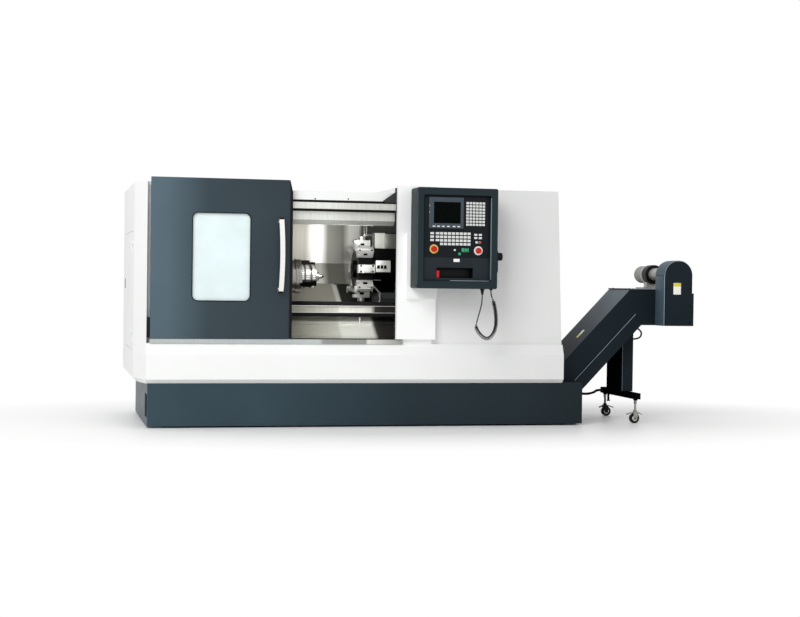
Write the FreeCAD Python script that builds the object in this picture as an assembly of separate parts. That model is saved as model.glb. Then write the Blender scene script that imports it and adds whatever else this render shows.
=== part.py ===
import FreeCAD, Part
import math
import os

V = FreeCAD.Vector

# A slant-bed CNC turning lathe with a chip conveyor. Millimetres, +Z up.
# The machine is drawn with X to the right along the front, Y to the rear and Z up from the
# floor, from the front left corner of its base. At the end every piece is moved so that the
# origin is at the bottom centre of the whole machine.

# ---- base ----
base_length = 3218.0
base_depth = 1380.0
base_top = 316.0
foot_height = 12.0
foot_radius = 45.0
base_wall = 10.0
base_floor = 12.0
base_deck = 14.0
base_edge = 5.0
fork_slot_width = 210.0
fork_slot_height = 166.0

# ---- overall heights that other covers follow ----
body_top = 1740.0
middle_drop = 40.0
column_rise = 8.0
door_rise = 29.0
ceiling_drop = 142.0

# ---- spindle line ----
spindle_y = 480.0
spindle_z = 1085.0
spindle_radius = 70.0
spindle_bore = 35.0
running_gap = 0.05
slide_gap = 0.3
chuck_radius = 127.0
chuck_face_x = 1150.0
chuck_plate = 28.0
chuck_body_length = 42.0
jaw_width = 30.0
jaw_key_depth = 18.0
jaw_length = 112.0
jaw_height = 30.0
jaw_travel = 8.0
centre_radius = 90.0
centre_length = 112.0
centre_bore = 33.0
centre_tip = 76.0

# ---- slanted bed: u runs up the slant to the rear, n stands square to it ----
slant_deg = 30.0
bed_x0 = 250.0
bed_x1 = 2950.0
seat_x1 = 1012.0
seat_top = 900.0
bed_n = -455.0
bed_u0 = -200.0
bed_u1 = 590.0
bed_rear_inset = 90.0
bed_rear_y = base_depth - bed_rear_inset
bed_foot_y = 690.0
bed_wall = 45.0
rail_width = 34.0
rail_height = 35.0
carriage_rails_u = (110.0, 510.0)
tail_rails_u = (-120.0, 15.0)
rail_x0 = 1085.0
rail_x1 = 2920.0
tail_rail_x0 = 2150.0

# ---- headstock ----
head_x0 = 262.0
head_x1 = seat_x1 - 12.0
head_y0 = 290.0
head_y1 = 670.0
head_top = 1275.0
head_chamfer = 45.0
bearing_land = 80.0
motor_bore = 130.0
rotor_radius = 118.0
actuator_radius = 95.0

# ---- carriage, cross slide and turret ----
saddle_x0 = 1758.0
saddle_x1 = 2060.0
saddle_u0 = 60.0
saddle_u1 = 560.0
saddle_n0 = -405.0
saddle_n1 = -345.0
runner_height = 43.0
screw_u = 300.0
screw_n = -428.0
screw_radius = 20.0
carriage_left = 180.0
carriage_right = 240.0
cross_rail_height = 27.0
cross_x0 = 1764.0
cross_x1 = 2050.0
cross_u0 = 150.0
cross_u1 = 520.0
cross_thick = 42.0
cross_in = 130.0
cross_out = 30.0
turret_u = 346.0
turret_n = -125.0
turret_x0 = 1640.0
turret_thick = 120.0
turret_radius = 165.0
turret_gap = 4.0
station_count = 8
holder_width = 62.0
holder_reach = 222.0
tool_reach = 250.0
housing_length = 178.0
housing_radius = 112.0

# ---- tailstock ----
tail_x0 = 2350.0
tail_length = 250.0
tail_travel_in = 50.0
tail_travel_out = 250.0
quill_radius = 45.0
quill_travel = 80.0
barrel_radius = 82.0

# ---- stainless interior ----
sheet = 3.0
cover_sheet = 2.0
cover_n = -386.0
cover_pitch = 8.0
fixed_cover_x1 = 1530.0
moving_cover_length = 453.0
splash_x0 = seat_x1
splash_x1 = 2960.0
splash_hole = 114.0
back_wall_y = 1250.0
back_knee_z = 1194.0
ceiling_z = body_top - ceiling_drop
chute_n = -363.0
chute_step = 8.0
chute_x1 = 2250.0
chute_low_u = -228.0
chute_bottom = 430.0
guard_bar_y = 597.0
guard_bar_z0 = 813.0
guard_bar_z1 = 866.0

# ---- white body ----
body_right_x = 3059.0
body_right_top_x = 3018.0
body_rear_y = 1630.0
corner_out = 88.0
corner_depth = 230.0
belt_top = 600.0
belt_crease = 522.0
belt_low = 345.0
belt_out = 30.0
belt_corner = 12.0
belt_inset = 6.0
belt_tuck = 30.0
middle_top = body_top - middle_drop
panel_y = 60.0
right_panel_y = 30.0
seam_z = 650.0
column_x0 = 1783.0
column_x1 = 2073.0
column_front = -25.0
column_top = body_top + column_rise
column_lip = 12.0
column_bottom = 636.0

# ---- door ----
door_x0 = 14.0
door_width = 1005.0
door_front = -12.0
door_thick = 40.0
door_bottom = 634.0
door_top = body_top + door_rise
door_corner = 22.0
door_edge = 35.0
window_x0 = 300.0
window_x1 = 720.0
window_z0 = 897.0
window_z1 = 1529.0
window_radius = 45.0
window_frame = 16.0
handle_x = 930.0
handle_z0 = 963.0
handle_z1 = 1497.0
handle_width = 34.0
handle_thick = 12.0
handle_out = 44.0
handle_bow = 18.0
handle_sway = 8.0
handle_foot = 36.0
door_stop_gap = 4.0
door_travel = column_x0 - door_x0 - door_width - door_stop_gap
sill_x1 = 1835.0
sill_z0 = 600.0
sill_z1 = 631.0
track_y = 44.0
track_z1 = body_top - 122.0
track_height = 45.0
brush_height = 19.0
recess_height = 21.0
valance_height = 58.0
valance_lip = 32.0

# ---- side door ----
side_door_y0 = 400.0
side_door_y1 = 1400.0
side_door_z0 = 540.0
side_door_z1 = 1395.0
side_door_gap = 3.0
side_door_lip = 20.0
side_hinge_radius = 4.0
side_knuckle = 36.0
latch_y0 = 1250.0
latch_y1 = 1380.0
latch_z0 = 968.0
latch_z1 = 1064.0
latch_proud = 3.0

# ---- control box ----
control_x0 = 1873.0
control_width = 595.0
control_bottom = 1009.0
control_height = 721.0
control_front = -260.0
control_depth = 200.0
control_wall = 4.0
control_frame = 25.0
control_corner = 14.0
recess_side = 46.0
recess_end = 51.0
arm_x0 = 1846.0
arm_bottom = 932.0
arm_top = 1400.0

# ---- conveyor ----
conveyor_y0 = 200.0
conveyor_width = 460.0
conveyor_wall = 4.0
conveyor_low = 40.0
conveyor_high = 290.0
conveyor_tail_x = 1010.0
head_bottom = 746.0
head_deck = 1020.0
bend_low_x = 3081.0
bend_high_x = 3752.0
head_end_x = 4095.0
upper_bend_x = 3663.0
upper_start_x = 2969.0
skirt_height = 94.0
skirt_out = 10.0
belt_radius = 80.0
belt_band = 10.0
head_shaft_x = 3990.0
head_shaft_z = 883.0
shaft_radius = 20.0
guard_x0 = 3863.0
guard_width = 225.0
guard_front = 10.0
guard_arch_z = 1129.0
guard_step = 14.0
guard_step_z = 994.0
motor_x = 3955.0
motor_z = 1137.0
leg_x0 = 3650.0
leg_width = 88.0
leg_y0 = 315.0
leg_depth = 340.0
beam_size = 46.0
beam_z0 = 184.0
beam_y0 = 90.0
beam_y1 = 850.0
beam_middle_x = leg_x0 + leg_width / 2
jack_y = 727.0
jack_z0 = 133.0
jack_radius = 9.0
caster_radius = 38.0
caster_width = 30.0
caster_offset = 8.0
caster_inset = 48.0
pedal_long = 68.0
pedal_short = 48.0

# ---- cords ----
thin_cord = 4.5
curly_radius = 11.0
curl_wire = 5.5
curl_pitch = 8.6
curl_end_pitch = 26.0
curl_lead = 40.0
cable_radius = 10.0
loop_radius = 6.5

FRONT = V(0, -1, 0)
RIGHT = V(1, 0, 0)
REAR = V(0, 1, 0)
UP = V(0, 0, 1)
DOWN = V(0, 0, -1)

SIDE_HINGE = V(-corner_out - side_hinge_radius - slide_gap, side_door_y0 + 4, 0)

PARTS = {}
CORD_NODES = ("cord_left", "cord_curly", "cord_right", "cable_lower", "cable_upper")


# ---- shape helpers ----
def block(x0, x1, y0, y1, z0, z1):
    return Part.makeBox(x1 - x0, y1 - y0, z1 - z0, V(x0, y0, z0))


def rod(start, direction, length, radius):
    return Part.makeCylinder(radius, length, start, direction)


def ring(start, direction, length, outer, inner):
    return rod(start, direction, length, outer).cut(rod(start, direction, length, inner))


def joined(shapes):
    whole = shapes[0].fuse(shapes[1:])
    return whole.removeSplitter()


def group(shapes):
    return Part.Compound(shapes)


def prism(points, direction):
    wire = Part.makePolygon(points + [points[0]])
    return Part.Face(wire).extrude(direction)


def prism_x(outline, x0, x1):
    return prism([V(x0, y, z) for y, z in outline], V(x1 - x0, 0, 0))


def prism_y(outline, y0, y1):
    return prism([V(x, y0, z) for x, z in outline], V(0, y1 - y0, 0))


def prism_z(outline, z0, z1):
    return prism([V(x, y, z0) for x, y in outline], V(0, 0, z1 - z0))


def shifted(points, distance, closed=True):
    """Each corner of an outline moved square to its sides, to the left of the way it runs."""
    count = len(points)
    moved = []
    for i, (px, py) in enumerate(points):
        normals = []
        for a, b in ((i - 1, i), (i, i + 1)):
            if not closed and (a < 0 or b >= count):
                continue
            ax, ay = points[a % count]
            bx, by = points[b % count]
            length = math.hypot(bx - ax, by - ay)
            normals.append((-(by - ay) / length, (bx - ax) / length))
        nx = sum(n[0] for n in normals)
        ny = sum(n[1] for n in normals)
        scale = 2.0 / (nx * nx + ny * ny) if len(normals) == 2 else 1.0
        moved.append((px + nx * scale * distance, py + ny * scale * distance))
    return moved


def folded(points, thickness):
    """The outline of a folded sheet: a line of corners and the same line moved to its left."""
    return points + shifted(points, thickness, closed=False)[::-1]


def rounded_plate(x0, x1, z0, z1, y0, y1, radius):
    """A plate in the XZ plane with round corners, from y0 to y1."""
    plate = block(x0, x1, y0, y1, z0, z1)
    corners = [e for e in plate.Edges if abs(e.Length - (y1 - y0)) < 1e-6 and is_along(e, REAR)]
    return plate.makeFillet(radius, corners)


def is_along(edge, direction):
    ends = edge.Vertexes
    if len(ends) < 2:
        return False
    step = ends[1].Point.sub(ends[0].Point)
    return abs(abs(step.dot(direction)) - step.Length) < 1e-6


def slant(x, u, n):
    """A point of the slanted frame, whose origin is on the spindle line."""
    angle = math.radians(slant_deg)
    y = spindle_y + u * math.cos(angle) - n * math.sin(angle)
    z = spindle_z + u * math.sin(angle) + n * math.cos(angle)
    return V(x, y, z)


def slant_yz(u, n):
    point = slant(0, u, n)
    return (point.y, point.z)


def slant_block(x0, x1, u0, u1, n0, n1):
    outline = [slant_yz(u0, n0), slant_yz(u1, n0), slant_yz(u1, n1), slant_yz(u0, n1)]
    return prism_x(outline, x0, x1)


SLANT_UP = slant(0, 1, 0).sub(slant(0, 0, 0))


# ---- base and bed ----
def base_tray():
    shell = block(0, base_length, 0, base_depth, foot_height, base_top)
    rim = [e for e in shell.Edges if abs(e.BoundBox.ZMin - base_top) < 1e-6]
    shell = shell.makeChamfer(base_edge, rim)
    hollow = block(base_wall, base_length - base_wall, base_wall, base_depth - base_wall,
                   foot_height + base_floor, base_top - base_deck)
    side = slide_gap + skirt_out
    slot = block(conveyor_tail_x - 10, base_length + 1, conveyor_y0 - side,
                 conveyor_y0 + conveyor_width + side, foot_height + base_floor, base_top + 1)
    fork_slot = block(-1, base_wall + 1, 3 * base_wall, 3 * base_wall + fork_slot_width,
                      70, 70 + fork_slot_height)
    return shell.cut([hollow, slot, fork_slot])


def levelling_feet():
    feet = []
    for i in range(4):
        x = 150 + i * (base_length - 300) / 3
        for y in (120, base_depth - 120):
            feet.append(rod(V(x, y, 0), UP, foot_height, foot_radius))
    return group(feet)


def bed_outline():
    front = slant_yz(bed_u0, bed_n)
    rear = slant_yz(bed_u1, bed_n)
    return [(bed_foot_y, base_top), (bed_rear_y, base_top), (bed_rear_y, rear[1] - 86), rear,
            front, (front[0], front[1] - 71), (bed_foot_y, base_top + 84)]


def bed_casting():
    slope = prism_x(bed_outline(), seat_x1, bed_x1)
    core = prism_x(shifted(bed_outline(), bed_wall), seat_x1 + bed_wall, bed_x1 + 1)
    seat = block(bed_x0, seat_x1, 330, bed_rear_y, base_top, seat_top)
    seat_core = block(bed_x0 - 1, seat_x1 - bed_wall, 330 + bed_wall, bed_rear_y - bed_wall,
                      base_top + bed_wall, seat_top - bed_wall)
    return joined([slope.cut(core), seat.cut(seat_core)])


def bed_rails():
    rails = []
    for u in carriage_rails_u:
        rails.append(slant_block(rail_x0, rail_x1, u - rail_width / 2, u + rail_width / 2,
                                 bed_n, bed_n + rail_height))
    for u in tail_rails_u:
        rails.append(slant_block(tail_rail_x0, rail_x1, u - rail_width / 2, u + rail_width / 2,
                                 bed_n, bed_n + rail_height))
    for x in (rail_x0, rail_x1 - 40):
        pillow = slant_block(x, x + 40, screw_u - 36, screw_u + 36, bed_n, screw_n + 30)
        hole = rod(slant(x, screw_u, screw_n), RIGHT, 40, screw_radius + running_gap)
        rails.append(pillow.cut(hole))
    return group(rails)


# ---- headstock, spindle and chuck ----
def headstock():
    c = head_chamfer
    outline = [(head_y0, seat_top), (head_y1, seat_top), (head_y1, head_top - c),
               (head_y1 - c, head_top), (head_y0 + c, head_top), (head_y0, head_top - c)]
    body = prism_x(outline, head_x0, head_x1)
    centre = V(head_x0 - 1, spindle_y, spindle_z)
    through = rod(centre, RIGHT, head_x1 - head_x0 + 2, spindle_radius + running_gap)
    inner = V(head_x0 + bearing_land, spindle_y, spindle_z)
    cavity = rod(inner, RIGHT, head_x1 - head_x0 - 2 * bearing_land, motor_bore)
    return body.cut([through, cavity])


def spindle():
    def stage(x0, x1, radius):
        return rod(V(x0, spindle_y, spindle_z), RIGHT, x1 - x0, radius)
    nose_x = chuck_face_x - chuck_body_length - chuck_plate
    shaft = stage(200, nose_x, spindle_radius)
    nose = stage(head_x1 + 2, nose_x, 105)
    rotor = stage(head_x0 + bearing_land + 40, head_x1 - bearing_land - 50, rotor_radius)
    actuator = stage(60, 200, actuator_radius)
    collar = stage(225, head_x0 - 2, 92)
    bore = stage(59, nose_x + 1, spindle_bore)
    return joined([shaft, nose, rotor, actuator, collar]).cut(bore)


def turned_about_spindle(shape, angle):
    shape = shape.copy()
    shape.rotate(V(0, spindle_y, spindle_z), RIGHT, angle)
    return shape


JAW_ANGLES = (90.0, 210.0, 330.0)


def jaw_blank(width, key_gap, reach):
    """A jaw pointing along +Y, before it is turned to its own angle."""
    y0 = spindle_y + centre_radius + slide_gap
    half = width / 2
    key = block(chuck_face_x - jaw_key_depth - key_gap, chuck_face_x, y0 - 30 - reach,
                y0 + jaw_height + reach, spindle_z - half, spindle_z + half)
    return key


def chuck_body():
    x0 = chuck_face_x - chuck_body_length - chuck_plate
    plate = rod(V(x0, spindle_y, spindle_z), RIGHT, chuck_plate, chuck_radius - 9)
    body = rod(V(x0 + chuck_plate, spindle_y, spindle_z), RIGHT, chuck_body_length, chuck_radius)
    bore = rod(V(x0 + 10, spindle_y, spindle_z), RIGHT, 100, centre_bore)
    slots = [turned_about_spindle(jaw_blank(jaw_width + 2 * slide_gap, slide_gap, 14), angle)
             for angle in JAW_ANGLES]
    groove = ring(V(x0 + chuck_plate + 14, spindle_y, spindle_z), RIGHT, 6, chuck_radius + 1,
                  chuck_radius - 4)
    return joined([plate, body]).cut(slots + [bore, groove])


def jaw(angle):
    y0 = spindle_y + centre_radius + slide_gap
    key = jaw_blank(jaw_width, 0, 0)
    half = jaw_width / 2
    top = [(chuck_face_x, y0), (chuck_face_x + jaw_length, y0),
           (chuck_face_x + jaw_length, y0 + 0.55 * jaw_height),
           (chuck_face_x + 0.62 * jaw_length, y0 + 0.55 * jaw_height),
           (chuck_face_x + 0.62 * jaw_length, y0 + jaw_height), (chuck_face_x, y0 + jaw_height)]
    gripper = prism_z(top, spindle_z - 1.4 * half, spindle_z + 1.4 * half)
    lifted = gripper.cut(rod(V(chuck_face_x - 1, spindle_y, spindle_z), RIGHT, jaw_length + 2,
                             centre_radius + slide_gap))
    gap = block(chuck_face_x - 1, chuck_face_x + slide_gap, 0, 2 * spindle_y, 0,
                spindle_z - half)
    gap_top = block(chuck_face_x - 1, chuck_face_x + slide_gap, 0, 2 * spindle_y,
                    spindle_z + half, 2 * spindle_z)
    low = block(chuck_face_x - jaw_key_depth, chuck_face_x + slide_gap, y0 - 30, y0,
                spindle_z - half, spindle_z + half)
    return turned_about_spindle(joined([key, lifted.cut([gap, gap_top])]).cut(low), angle)


def drive_centre():
    def stage(x0, x1, radius):
        return rod(V(x0, spindle_y, spindle_z), RIGHT, x1 - x0, radius)
    face = chuck_face_x
    end = face + centre_length
    plug = stage(face - 30, face + 1, centre_bore)
    drum = stage(face + 1, end, centre_radius)
    neck = stage(end, end + 28, 34)
    stub = stage(end + 28, end + 52, 16)
    tip = Part.makeCone(16, 2, centre_tip - 52, V(end + 52, spindle_y, spindle_z), RIGHT)
    grooves = [ring(V(face + x, spindle_y, spindle_z), RIGHT, 8, centre_radius + 1,
                    centre_radius - 8) for x in (26, 74)]
    return joined([plug, drum, neck, stub, tip]).cut(grooves)


# ---- carriage ----
def rail_channel(x0, x1, u, clear):
    half = rail_width / 2 + clear
    return slant_block(x0, x1, u - half, u + half, bed_n - 1, bed_n + rail_height + clear)


def saddle():
    plate = slant_block(saddle_x0, saddle_x1, saddle_u0, saddle_u1, saddle_n0, saddle_n1)
    pieces = [plate]
    cuts = []
    for u in carriage_rails_u:
        for x in (saddle_x0 + 17, saddle_x1 - 117):
            pieces.append(slant_block(x, x + 100, u - 38, u + 38, saddle_n0 - runner_height,
                                      saddle_n0))
        cuts.append(rail_channel(saddle_x0 - 1, saddle_x1 + 1, u, slide_gap))
    nut_x = (saddle_x0 + saddle_x1) / 2 - 40
    pieces.append(slant_block(nut_x, nut_x + 80, screw_u - 38, screw_u + 38,
                              saddle_n0 - runner_height, saddle_n0))
    cuts.append(rod(slant(nut_x - 1, screw_u, screw_n), RIGHT, 82, screw_radius + running_gap))
    for x in cross_rail_places():
        pieces.append(slant_block(x - 15, x + 15, saddle_u0 + 10, saddle_u1 - 10, saddle_n1,
                                  saddle_n1 + cross_rail_height))
    pieces.append(slant_block(saddle_x1, saddle_x1 + 120, 330, 540, saddle_n0, saddle_n1 + 50))
    return joined(pieces).cut(cuts)


def cross_rail_places():
    return (cross_x0 + 45, cross_x1 - 45)


def z_screw():
    start = rail_x0 + 5
    return rod(slant(start, screw_u, screw_n), RIGHT, rail_x1 - 5 - start, screw_radius)


def way_cover(x0, x1, n):
    return slant_block(x0, x1, saddle_u0 + 2, saddle_u1, n, n + cover_sheet)


def cross_slide():
    n0 = saddle_n1 + cross_rail_height + 6
    plate = slant_block(cross_x0, cross_x1, cross_u0, cross_u1, n0, n0 + cross_thick)
    pieces = [plate]
    cuts = []
    for x in cross_rail_places():
        for u in (cross_u0 + 20, cross_u1 - 100):
            pieces.append(slant_block(x - 30, x + 30, u, u + 80, saddle_n1 + 2, n0))
        cuts.append(slant_block(x - 15 - slide_gap, x + 15 + slide_gap, cross_u0 - 1,
                                cross_u1 + 1, saddle_n1, saddle_n1 + cross_rail_height
                                + slide_gap))
    return joined(pieces).cut(cuts)


def cross_top():
    return saddle_n1 + cross_rail_height + 6 + cross_thick


def housing_x0():
    return turret_x0 + turret_thick + turret_gap


def turret_housing():
    x0 = housing_x0()
    x1 = x0 + housing_length
    drum = rod(slant(x0, turret_u, turret_n), RIGHT, housing_length, housing_radius)
    pedestal = slant_block(x0, x1, turret_u - housing_radius, turret_u + housing_radius,
                           cross_top(), turret_n)
    bore = rod(slant(x0 - 1, turret_u, turret_n), RIGHT, 60, 60 + running_gap)
    centre = slant(x0, turret_u, turret_n)
    valves = block(x0, x0 + 120, centre.y - 190, centre.y - housing_radius + 12,
                   centre.z - 28, centre.z + 69)
    arm = block(x0, x1, centre.y - 150, centre.y + 20, centre.z + 75, centre.z + 152)
    motor = block(x0 + 34, x1 + 48, centre.y + 20, centre.y + 120, centre.z + 20, centre.z + 284)
    return joined([drum, pedestal, valves, arm, motor]).cut(bore)


def turret_disc():
    points = []
    for i in range(station_count):
        angle = 2 * math.pi * (i + 0.5) / station_count
        centre = slant(turret_x0, turret_u, turret_n)
        points.append((centre.y + turret_radius * math.cos(angle),
                       centre.z + turret_radius * math.sin(angle)))
    disc = prism_x(points, turret_x0, turret_x0 + turret_thick)
    journal = rod(slant(turret_x0 + turret_thick - 1, turret_u, turret_n), RIGHT,
                  turret_gap + 52, 60)
    cap = rod(slant(turret_x0 - 12, turret_u, turret_n), RIGHT, 13, 70)
    return joined([disc, journal, cap])


def tool_station(index):
    """One tool holder and its tool, pointing up from the turret's axis, before it is turned."""
    centre = slant(turret_x0, turret_u, turret_n)
    flat = turret_radius * math.cos(math.pi / station_count)
    half = holder_width / 2
    x0 = turret_x0 - 12
    x1 = turret_x0 + turret_thick - 6
    low = centre.z + flat
    top = centre.z + holder_reach
    holder = block(x0, x1, centre.y - half, centre.y + half, low, top)
    notch = block(x0 - 1, x0 + 22, centre.y - half - 1, centre.y + half + 1, low + 28, low + 44)
    if index % 2 == 0:
        tool = rod(V((x0 + x1) / 2, centre.y, top - 1), UP, tool_reach - holder_reach + 1, 28)
        tools = [holder.cut(notch), tool]
    else:
        shank = block(x0 - 10, x1 - 14, centre.y - 12, centre.y + 14, top - 20, top + 6)
        tip = block(x0 - 20, x0 - 6, centre.y - 12, centre.y + 14, top - 20,
                    centre.z + tool_reach)
        tools = [holder.cut(notch), shank, tip]
    station = joined(tools)
    station.rotate(centre, RIGHT, 360.0 * index / station_count)
    return station


def tool_holders():
    return group([tool_station(i) for i in range(station_count)])


# ---- tailstock ----
def tailstock_body():
    x1 = tail_x0 + tail_length
    base = slant_block(tail_x0, x1, -150, 45, bed_n + 3, -60)
    barrel = rod(V(tail_x0, spindle_y, spindle_z), RIGHT, tail_length, barrel_radius)
    bore = rod(V(tail_x0 - 1, spindle_y, spindle_z), RIGHT, tail_length - 24,
               quill_radius + running_gap)
    channels = [rail_channel(tail_x0 - 1, x1 + 1, u, slide_gap) for u in tail_rails_u]
    return joined([base, barrel]).cut(channels + [bore])


def tailstock_quill():
    sleeve = rod(V(tail_x0 - 45, spindle_y, spindle_z), RIGHT, tail_length - 20, quill_radius)
    neck = rod(V(tail_x0 - 62, spindle_y, spindle_z), RIGHT, 20, 28)
    tip = Part.makeCone(2, 28, 38, V(tail_x0 - 100, spindle_y, spindle_z), RIGHT)
    return joined([sleeve, neck, tip])


# ---- stainless interior ----
def back_splash():
    knee = slant_yz(saddle_u1 + 2, cover_n - 4)
    profile = [knee, (back_wall_y, back_knee_z), (back_wall_y, ceiling_z), (110, ceiling_z),
               (110, ceiling_z - 40)]
    wall = prism_x(folded(profile, sheet), splash_x0, splash_x1)
    low = slant_yz(-190, cover_n - 14)
    high = slant_yz(saddle_u1 + 2, cover_n - 14)
    end = [(panel_y + 10, belt_top), (low[0] - 30, belt_top), low, high,
           (back_wall_y, back_knee_z), (back_wall_y, ceiling_z), (panel_y + 10, ceiling_z)]
    left = prism_x(end, splash_x0, splash_x0 + sheet)
    right = prism_x(end, splash_x1 - sheet, splash_x1)
    hole = rod(V(splash_x0 - 1, spindle_y, spindle_z), RIGHT, sheet + 2, splash_hole)
    return joined([wall, left, right]).cut(hole)


def chip_chute():
    drop = slant_yz(chute_low_u, chute_n - chute_step)
    profile = [slant_yz(50, chute_n), slant_yz(-85, chute_n),
               slant_yz(-85, chute_n - chute_step), drop, (drop[0] - 26, drop[1] - 12),
               (drop[0] - 26, chute_bottom)]
    plate = prism_x(folded(profile, sheet), splash_x0 + sheet, chute_x1)
    ribs = []
    for x in (splash_x0 + 40, (splash_x0 + chute_x1) / 2, tail_rail_x0 - 20):
        ribs.append(slant_block(x, x + 10, -60, 20, bed_n, chute_n - sheet + 0.5))
    front = [(panel_y - 20, sill_z0 + 24), (panel_y + 60, sill_z0 - 40), (190, chute_bottom)]
    apron = prism_x(folded(front, sheet), splash_x0 + sheet, sill_x1)
    hanger = block(splash_x0 + sheet, sill_x1, panel_y - 20, panel_y - 20 + sheet,
                   sill_z0 + 20, sill_z1 - sheet)
    y = guard_bar_y
    lips = [(y - 12, guard_bar_z0), (y, guard_bar_z0), (y, guard_bar_z1), (y - 12, guard_bar_z1)]
    bar = prism_x(folded(lips, sheet), splash_x0 + sheet, chute_x1)
    foot = slant_yz(-60, chute_n)
    stays = [block(x, x + 8, y - 2, y + 18, foot[1] - 20, guard_bar_z1 - 20)
             for x in (splash_x0 + sheet, (splash_x0 + chute_x1) / 2, chute_x1 - 8)]
    return group([joined([plate, bar] + ribs + stays), joined([apron, hanger])])


# ---- white body ----
def body_outline(front_out, inset=0.0, tuck=0.0):
    """The plan of the body with its left corner cut back, its front let out, its left side in."""
    x_left = -corner_out + tuck + inset * (1 + tuck / (belt_low - base_top))
    front = -front_out + inset
    rear = body_rear_y - inset
    right = body_right_x - inset
    corner = -belt_corner + inset
    return [(corner, front), (right, front), (right, rear), (x_left, rear), (x_left, corner_depth)]


def lofted(outline0, z0, outline1, z1):
    wires = []
    for outline, z in ((outline0, z0), (outline1, z1)):
        points = [V(x, y, z) for x, y in outline]
        wires.append(Part.makePolygon(points + [points[0]]))
    return Part.makeLoft(wires, True, True)


def body_belt():
    def stack(inset, extra):
        flush = body_outline(-belt_inset, inset)
        proud = body_outline(belt_out, inset)
        low = body_outline(-belt_inset, inset, belt_tuck)
        shapes = [lofted(low, base_top - extra, proud, belt_low),
                  lofted(proud, belt_low, proud, belt_crease),
                  lofted(proud, belt_crease, flush, belt_top + extra)]
        return joined(shapes)
    side = slide_gap + skirt_out
    notch = block(body_right_x - 60, body_right_x + 10, conveyor_y0 - side,
                  conveyor_y0 + conveyor_width + side, base_top - 10, base_top + 94)
    shell = stack(0, 0).cut(stack(sheet, 0.01))
    flush = body_outline(-belt_inset)
    floor = prism_z(body_outline(-belt_inset, 0, belt_tuck), base_top, base_top + sheet)
    floor = floor.cut(block(40, body_right_x - 10, 40, base_depth - 40, 0, belt_low))
    ledge = prism_z(flush, belt_top - sheet, belt_top)
    ledge = ledge.cut(block(-2 * corner_out, 2 * body_right_x, panel_y + sheet, body_rear_y,
                            belt_low, belt_top + 1))
    door_gap = block(-2 * corner_out, -corner_out + 2 * sheet, side_door_y0 - side_door_gap,
                     side_door_y1 + side_door_gap, side_door_z0 - side_door_gap, belt_top + 1)
    return joined([shell, floor, ledge]).cut([notch, door_gap])


def sill_strip():
    profile = [(panel_y - 2, sill_z0), (door_front + 6, sill_z0), (door_front + 6, sill_z1),
               (panel_y - 2, sill_z1)]
    return prism_x(folded(profile, -sheet), door_x0 - 2, sill_x1)


def left_cover():
    corner = (-10, 4)
    line = [(splash_x0, panel_y), (-4, panel_y), corner, (-corner_out, corner_depth),
            (-corner_out, body_rear_y - sheet)]
    walls = prism_z(folded(line, -sheet), belt_top, body_top)
    roof_plan = line + [(splash_x0, body_rear_y - sheet)]
    roof = prism_z(roof_plan, body_top - sheet, body_top)
    opening = block(-corner_out - 1, -corner_out + sheet + 1, side_door_y0 - side_door_gap,
                    side_door_y1 + side_door_gap, side_door_z0 - side_door_gap,
                    side_door_z1 + side_door_gap)
    step = block(splash_x0 - sheet, splash_x0, panel_y, body_rear_y - sheet, middle_top - sheet,
                 body_top)
    fixed = []
    for z in side_hinge_places():
        for low in (z - side_knuckle / 2 - slide_gap, z + side_knuckle + slide_gap):
            fixed += hinge_leaf(low, side_knuckle / 2, -1)
    return joined([walls.cut(opening), roof, step] + fixed)


def hinge_leaf(low, height, side):
    """A knuckle and its leaf, on the cover's side (-1) or the door's side (1)."""
    x, y = SIDE_HINGE.x, SIDE_HINGE.y
    reach = side_hinge_radius + 26
    near = side_hinge_radius + 4
    ys = sorted((y, y + side * reach))
    pad = sorted((y + side * near, y + side * reach))
    return [rod(V(x, y, low), UP, height, side_hinge_radius),
            block(x - 1, x + 1, ys[0], ys[1], low, low + height),
            block(x - 1, -corner_out, pad[0], pad[1], low, low + height)]


def side_hinge_places():
    return (side_door_z0 + 90, side_door_z1 - 90 - side_knuckle)


def side_door():
    x0 = -corner_out
    pan = block(x0, x0 + side_door_lip, side_door_y0, side_door_y1, side_door_z0, side_door_z1)
    hollow = block(x0 + sheet, x0 + side_door_lip + 1, side_door_y0 + sheet,
                   side_door_y1 - sheet, side_door_z0 + sheet, side_door_z1 - sheet)
    knuckles = []
    for z in side_hinge_places():
        knuckles += hinge_leaf(z, side_knuckle, 1)
    latch = block(x0 - latch_proud, x0, latch_y0, latch_y1, latch_z0, latch_z1)
    return joined([pan.cut(hollow), latch] + knuckles)


def rear_cover():
    right = column_x0 + sheet
    outline = [(-corner_out, belt_top), (body_right_x, belt_top), (body_right_top_x, body_top),
               (right, body_top), (right, middle_top), (splash_x0, middle_top),
               (splash_x0, body_top), (-corner_out, body_top)]
    wall = prism_y(outline, body_rear_y - sheet, body_rear_y)
    roof = block(splash_x0, column_x0, panel_y, body_rear_y, middle_top - sheet, middle_top)
    fascia = block(splash_x0, column_x0, panel_y, panel_y + sheet, track_z1 + brush_height,
                   middle_top)
    slots = []
    for bank in range(2):
        for i in range(8):
            z = 1250 + 34 * i
            x = 700 + 1300 * bank
            slots.append(block(x, x + 420, body_rear_y - 10, body_rear_y + 10, z, z + 12))
    return joined([wall, roof, fascia]).cut(slots)


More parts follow.
